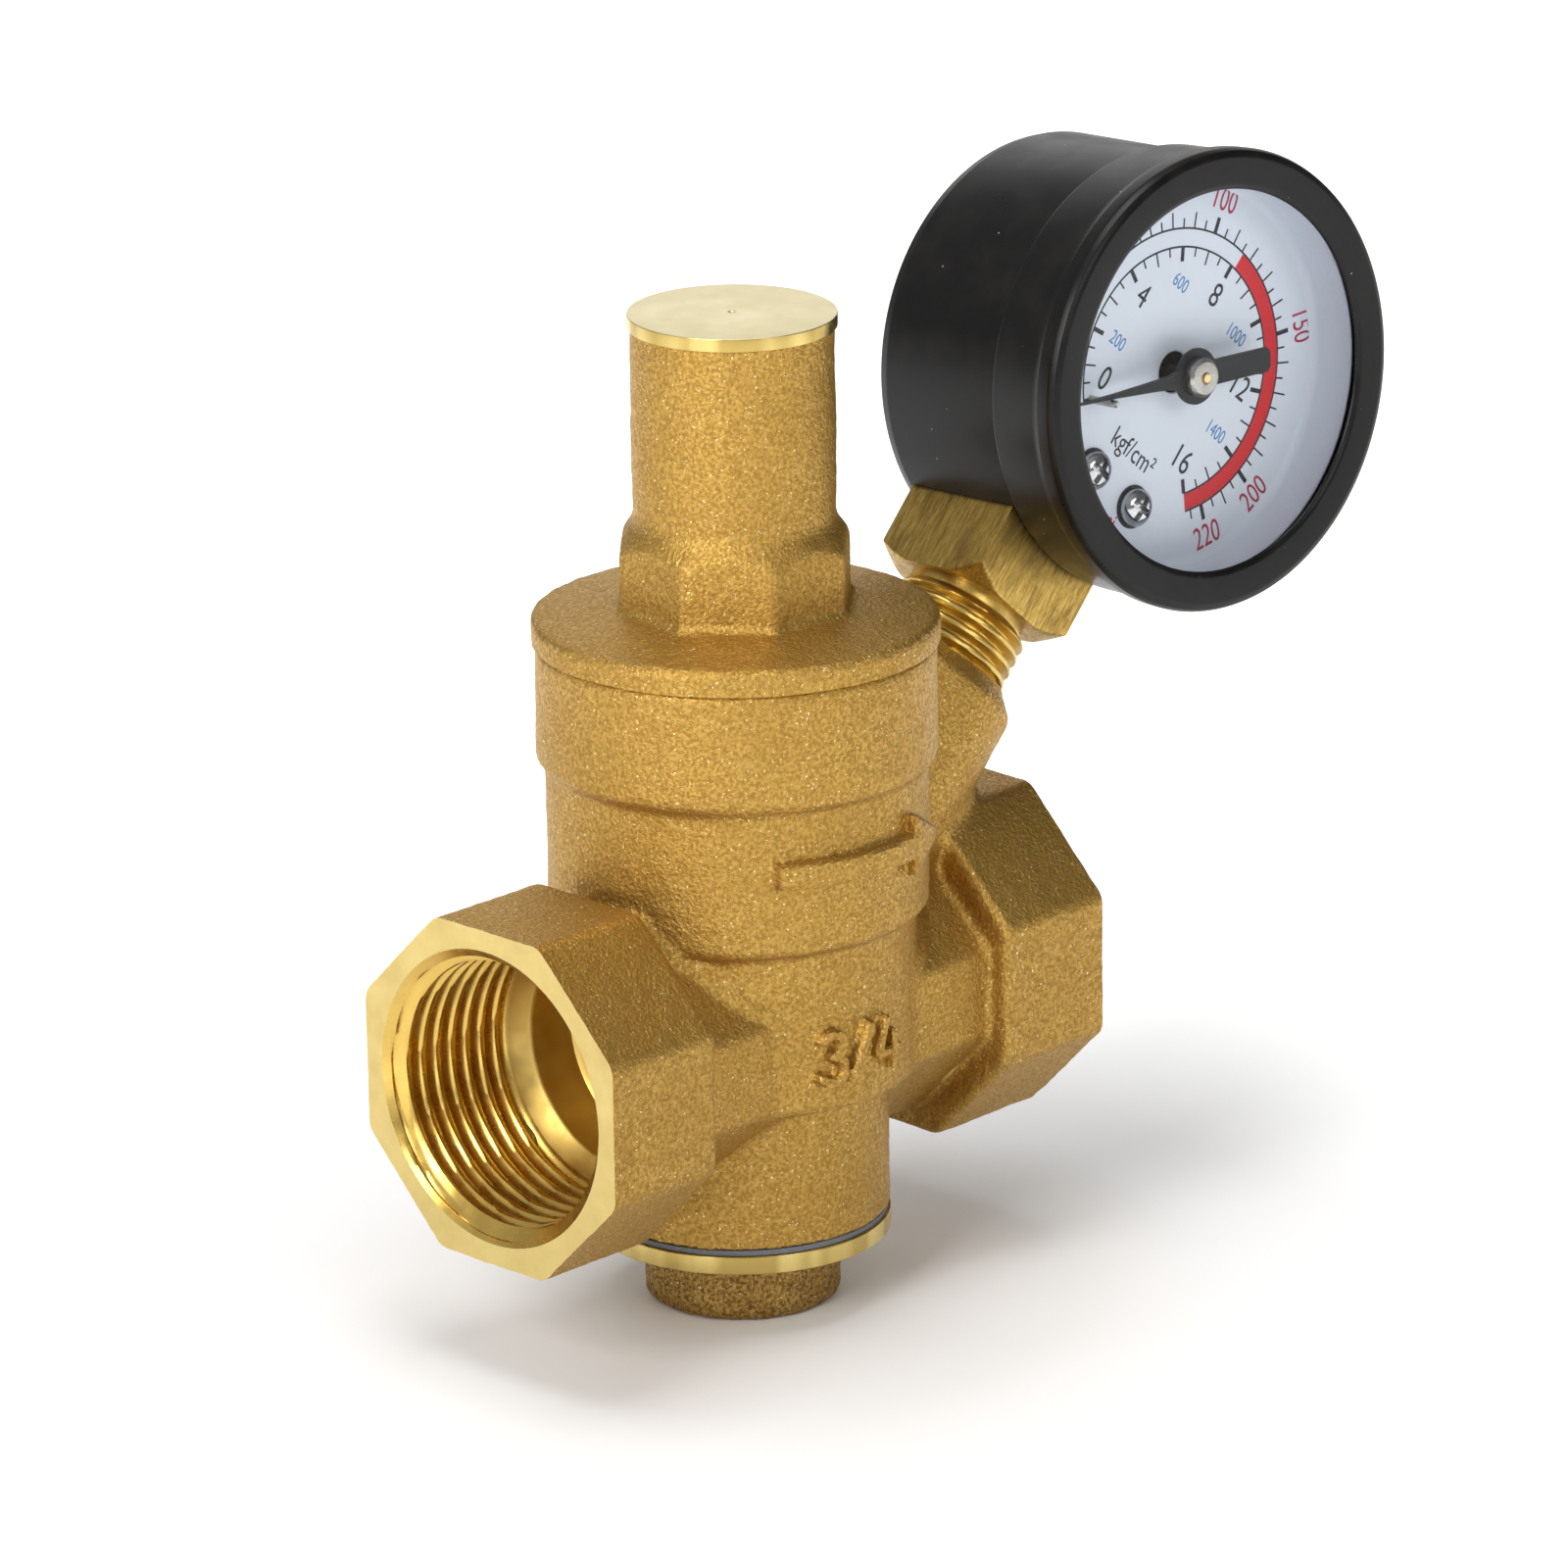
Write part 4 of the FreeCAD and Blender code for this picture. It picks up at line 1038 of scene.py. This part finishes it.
def dial_printing():
    """Two scales on one face, kgf/cm2 inside and psi outside, with kPa numerals between."""
    black, red, crimson, blue = Shape(), Shape(), Shape(), Shape()
    for radius in (inner_scale_r, outer_scale_r):
        arc_band(black, radius - 0.09, radius + 0.09, zero_angle, full_angle)
    for half in range(int(full_scale * 2) + 1):
        bold = half % 4 == 0
        reach = 1.35 if bold or half % 2 == 0 else 0.85
        tick(black, inner_scale_r - reach, inner_scale_r, scale_angle(half / 2),
             0.42 if bold else 0.17)
    for psi in range(0, 226, 5):
        bold, long_tick = psi % 50 == 0 or psi == 220, psi % 10 == 0
        tick(black, outer_scale_r, outer_scale_r + (1.5 if bold or long_tick else 0.9),
             scale_angle(psi / psi_per_unit), 0.42 if bold else 0.17)
    for value, radius, lead in ((0, 8.9, 0.55), (4, 8.5, 0), (8, 8.2, 0), (12, 8.6, 0),
                                (16, 8.3, 0)):
        place = on_dial(radius, scale_angle(value + lead))
        print_words(black, str(value), place.x, place.z, 3.3)
    for value in (2, 6, 10, 14):
        place = on_dial(8.15, scale_angle(value))
        print_words(blue, str(value * 100), place.x, place.z, 1.9, 0.0, 0.72)
    for psi in (50, 100, 150, 200, 220):
        angle = scale_angle(psi / psi_per_unit)
        place = on_dial(16.35, angle)
        flip = 180 if abs(angle) > 90 else 0
        print_words(crimson, str(psi), place.x, place.z, 3.1, angle - flip, 0.72)
    print_words(black, "kgf/cm\u00b2", 0.2, -8.5, 2.7)
    print_words(crimson, "psi", 1.3, -15.0, 2.4)
    arc_band(red, inner_scale_r + 0.1, outer_scale_r - 0.1, scale_angle(8.15), full_angle, 0.014)
    # Painted shadow: a black ring drawn round each screw head, for the shade of the head and its hole.
    for side in (-1, 1):
        arc_band(black, screw_head_r - 0.1, screw_head_r + 0.28, 0, 360, 0.02,
                 Vector((side * screw_x, 0, screw_z)))
    for name, shape, ink in (("dial_black_print_and_painted_shadow", black, INK_BLACK),
                             ("dial_red_band", red, INK_RED),
                             ("dial_crimson_print", crimson, INK_CRIMSON),
                             ("dial_blue_print", blue, INK_BLUE)):
        make_piece(name, shape, "valve", [ink], [], GAUGE)


def screw_heads():
    """Two bright domed screws in the dial, each with a cross recess."""
    shape = Shape()
    radii = [screw_head_r * step / 30 for step in range(1, 31)]

    def face(r, turn):
        rise = screw_head_height * (1 - 0.45 * (r / screw_head_r) ** 4)
        across = min(abs(math.sin(turn)), abs(math.cos(turn))) * r
        return dial_face - rise + 0.75 * (share((0.30 - across) / 0.12) * share((1.2 - r) / 0.15))

    for side in (-1, 1):
        centre = Vector((side * screw_x, 0, screw_z))

        def ring(r, depth):
            return [centre + Vector((r * math.cos(turn), depth(r, turn), r * math.sin(turn)))
                    for turn in turns_of(96)]

        rows = [ring(r, face) for r in radii]
        rows.append(ring(screw_head_r, lambda r, turn: dial_face + 0.02))
        first, last = shape.rings(rows)
        shape.close(first, last)
    make_piece("screw_heads", shape, "valve", [CHROME], ["dial_screws"], GAUGE)


def pointer_hand():
    """Needle, wide tail and hub disc in one stamped blade, with its boss and sleeve."""
    shape = Shape()
    turn = math.radians(rest_angle)
    needle = [Vector((across, along)) for along, across in
              ((needle_r, 0.10), (10.0, 0.24), (6.0, 0.46), (3.6, 0.62))]
    hub = [Vector((hub_r * math.sin(a), hub_r * math.cos(a)))
           for a in np.linspace(math.radians(20), math.radians(153), 22)]
    tail = [Vector((1.14, 0.4 - tail_r)), Vector((0.75, -tail_r)), Vector((0, -tail_r - 0.04))]
    right = needle + hub + tail
    rim = right + [Vector((-p.x, p.y)) for p in reversed(right[:-1])]

    def level(depth, shrink):
        points = [p - p.normalized() * shrink for p in rim]
        return [Vector((p.x * math.cos(turn) + p.y * math.sin(turn), depth,
                        p.y * math.cos(turn) - p.x * math.sin(turn))) for p in points]

    first, last = shape.rings([level(blade_back, 0.05), level(blade_back - 0.06, 0.0),
                               level(blade_front + 0.08, 0.0), level(blade_front, 0.07)])
    shape.close(first, last)
    make_piece("pointer_hand", shape, "pointer_shaft", [POINTER], ["pointer"],
               GAUGE, 40)
    gauge_turned("pointer_sleeve", [(0.6, dial_face - 1), (1.1, dial_face - 1), (1.1, blade_back),
                                    (0.6, blade_back)],
                 "pointer_shaft", [POINTER], [], 48, 0.05)
    front = blade_front - cap_hub_height
    gauge_turned("pointer_boss", [(0, front + 0.15), (0.45, front + 0.12), (0.55, front),
                                  (cap_hub_r - 0.28, front), (cap_hub_r, front + 0.28),
                                  (cap_hub_r, blade_front), (0, blade_front)],
                 "pointer_shaft", [NICKEL], ["pointer_cap"], 72, 0.06)
    gauge_turned("arbor_tip", [(0, front - 0.05), (0.25, front - 0.05), (0.33, front + 0.05),
                               (0.33, front + 0.3), (0, front + 0.3)],
                 "pointer_shaft", [MOVEMENT], [], 32, 0.03)


# ================================================================== carried-over CAD nodes

CARRIED = (
    (STAINLESS, "seat_insert valve_stem lock_nut sector_arbor link"),
    (FIBRE, "bonnet_gasket"),
    (RUBBER, "cap_oring piston_oring valve_disc lens_gasket"),
    (TURNED, "adjusting_screw spring_seat piston disc_washer disc_holder"),
    (WIRE, "regulating_spring"),
    (NICKEL, "case_screws stop_pin"),
    (MOVEMENT, "dial_spacers arbor_pinion sector_gear movement_front_plate movement_back_plate "
               "movement_pillars bourdon_tube tube_tip hairspring hairspring_stud"),
)


def paint_carried_nodes():
    for material, nodes in CARRIED:
        for node in nodes.split():
            mesh = frame["nodes"][node].data
            mesh.materials.clear()
            mesh.materials.append(material)


# ================================================================== stage

def photo_camera():
    """Long lens from the front left, a little above, as a product is pictured."""
    azimuth, elevation, roll = math.radians(-45.774), math.radians(18.17), math.radians(-0.567)
    distance, lens = 829.797, 213.31
    back = Vector((math.sin(azimuth) * math.cos(elevation),
                   -math.cos(azimuth) * math.cos(elevation), math.sin(elevation)))
    right = Vector((math.cos(azimuth), math.sin(azimuth), 0))
    up = back.cross(right)
    right, up = (right * math.cos(roll) + up * math.sin(roll),
                 up * math.cos(roll) - right * math.sin(roll))
    target = Vector((0, 0, 48.162)) + right * 4.158
    data = bpy.data.cameras.new("camera")
    data.lens, data.sensor_width = lens, 36.0
    data.clip_start, data.clip_end = 0.01, 20.0
    camera = put("camera", data)
    turn = Matrix((right, up, back)).transposed().to_4x4()
    camera.matrix_world = Matrix.Translation((target + back * distance) * MM) @ turn
    bpy.context.scene.camera = camera


def soft_box(name, place, size, power):
    """Area light aimed at the middle of the object."""
    data = bpy.data.lights.new(name, "AREA")
    data.shape, data.size, data.size_y = "RECTANGLE", size[0], size[1]
    data.energy = power
    light = put(name, data)
    light.location = place
    light.rotation_mode = "QUATERNION"
    light.rotation_quaternion = (Vector((0, 0, 0.045)) - Vector(place)).to_track_quat("-Z", "Y")


def floor_white():
    """White paper with painted light: it glows more with distance from the object, which whitens the far floor and
    keeps the shade near the object.
    """
    paint = Paint("floor_white", 0.7, 0.0)
    away = new_node(paint.nodes, "VectorMath")
    away.operation = "LENGTH"
    paint.link(paint.place, away.inputs[0])
    # Painted light: emission strength rises from nothing near the object to 0.65 further out.
    painted_light_glow = new_node(paint.nodes, "MapRange", From_Min=0.03, From_Max=0.15, To_Min=0.0, To_Max=0.65)
    paint.link(away.outputs["Value"], painted_light_glow.inputs["Value"])
    paint.shader.inputs["Emission Color"].default_value = (1, 1, 1, 1)
    paint.link(painted_light_glow.outputs["Result"], paint.shader.inputs["Emission Strength"])
    return paint.finish(paint.ramp(paint.noise(300.0), (0.3, 0.88), (0.7, 0.90)))


def studio():
    shape = Shape()
    turned(shape, [(0, -2.0), (6000, -2.0), (6000, 0.0), (0, 0.0)], 96, 0.5)
    floor = finished("floor", shape, [floor_white()])
    world = bpy.data.worlds.new("studio")
    world.use_nodes = True
    nodes, links = world.node_tree.nodes, world.node_tree.links
    place = new_node(nodes, "TexCoord")
    lean = new_node(nodes, "VectorMath")
    lean.operation = "DOT_PRODUCT"
    lean.inputs[1].default_value = (-0.42, 0.12, 0.45)
    ramp = new_node(nodes, "ValToRGB")
    for element, (position, grey) in zip(ramp.color_ramp.elements, ((0.0, 0.22), (0.55, 0.80))):
        element.position, element.color = position, (grey, grey, grey, 1)
    links.new(place.outputs["Generated"], lean.inputs[0])
    links.new(lean.outputs["Value"], ramp.inputs["Fac"])
    links.new(ramp.outputs["Color"], nodes["Background"].inputs["Color"])
    nodes["Background"].inputs["Strength"].default_value = 0.62
    bpy.context.scene.world = world
    soft_box("key", (-1.15, -0.25, 0.7), (0.55, 0.7), 11)
    soft_box("front", (-0.1, -1.15, 0.6), (0.7, 0.5), 3.2)
    soft_box("back", (0.85, 0.9, 0.55), (1.2, 0.7), 3.0)
    soft_box("top", (-0.05, 0.0, 1.1), (0.6, 0.6), 5)
    bpy.context.scene.view_settings.view_transform = "Standard"


for build in (body_casting, bonnet_casting, plug_casting, plug_ring, gasket_ring, turned_cap,
              gauge_block, gauge_shell, dial_pan, dial_printing, screw_heads, pointer_hand,
              paint_carried_nodes, photo_camera, studio):
    build()
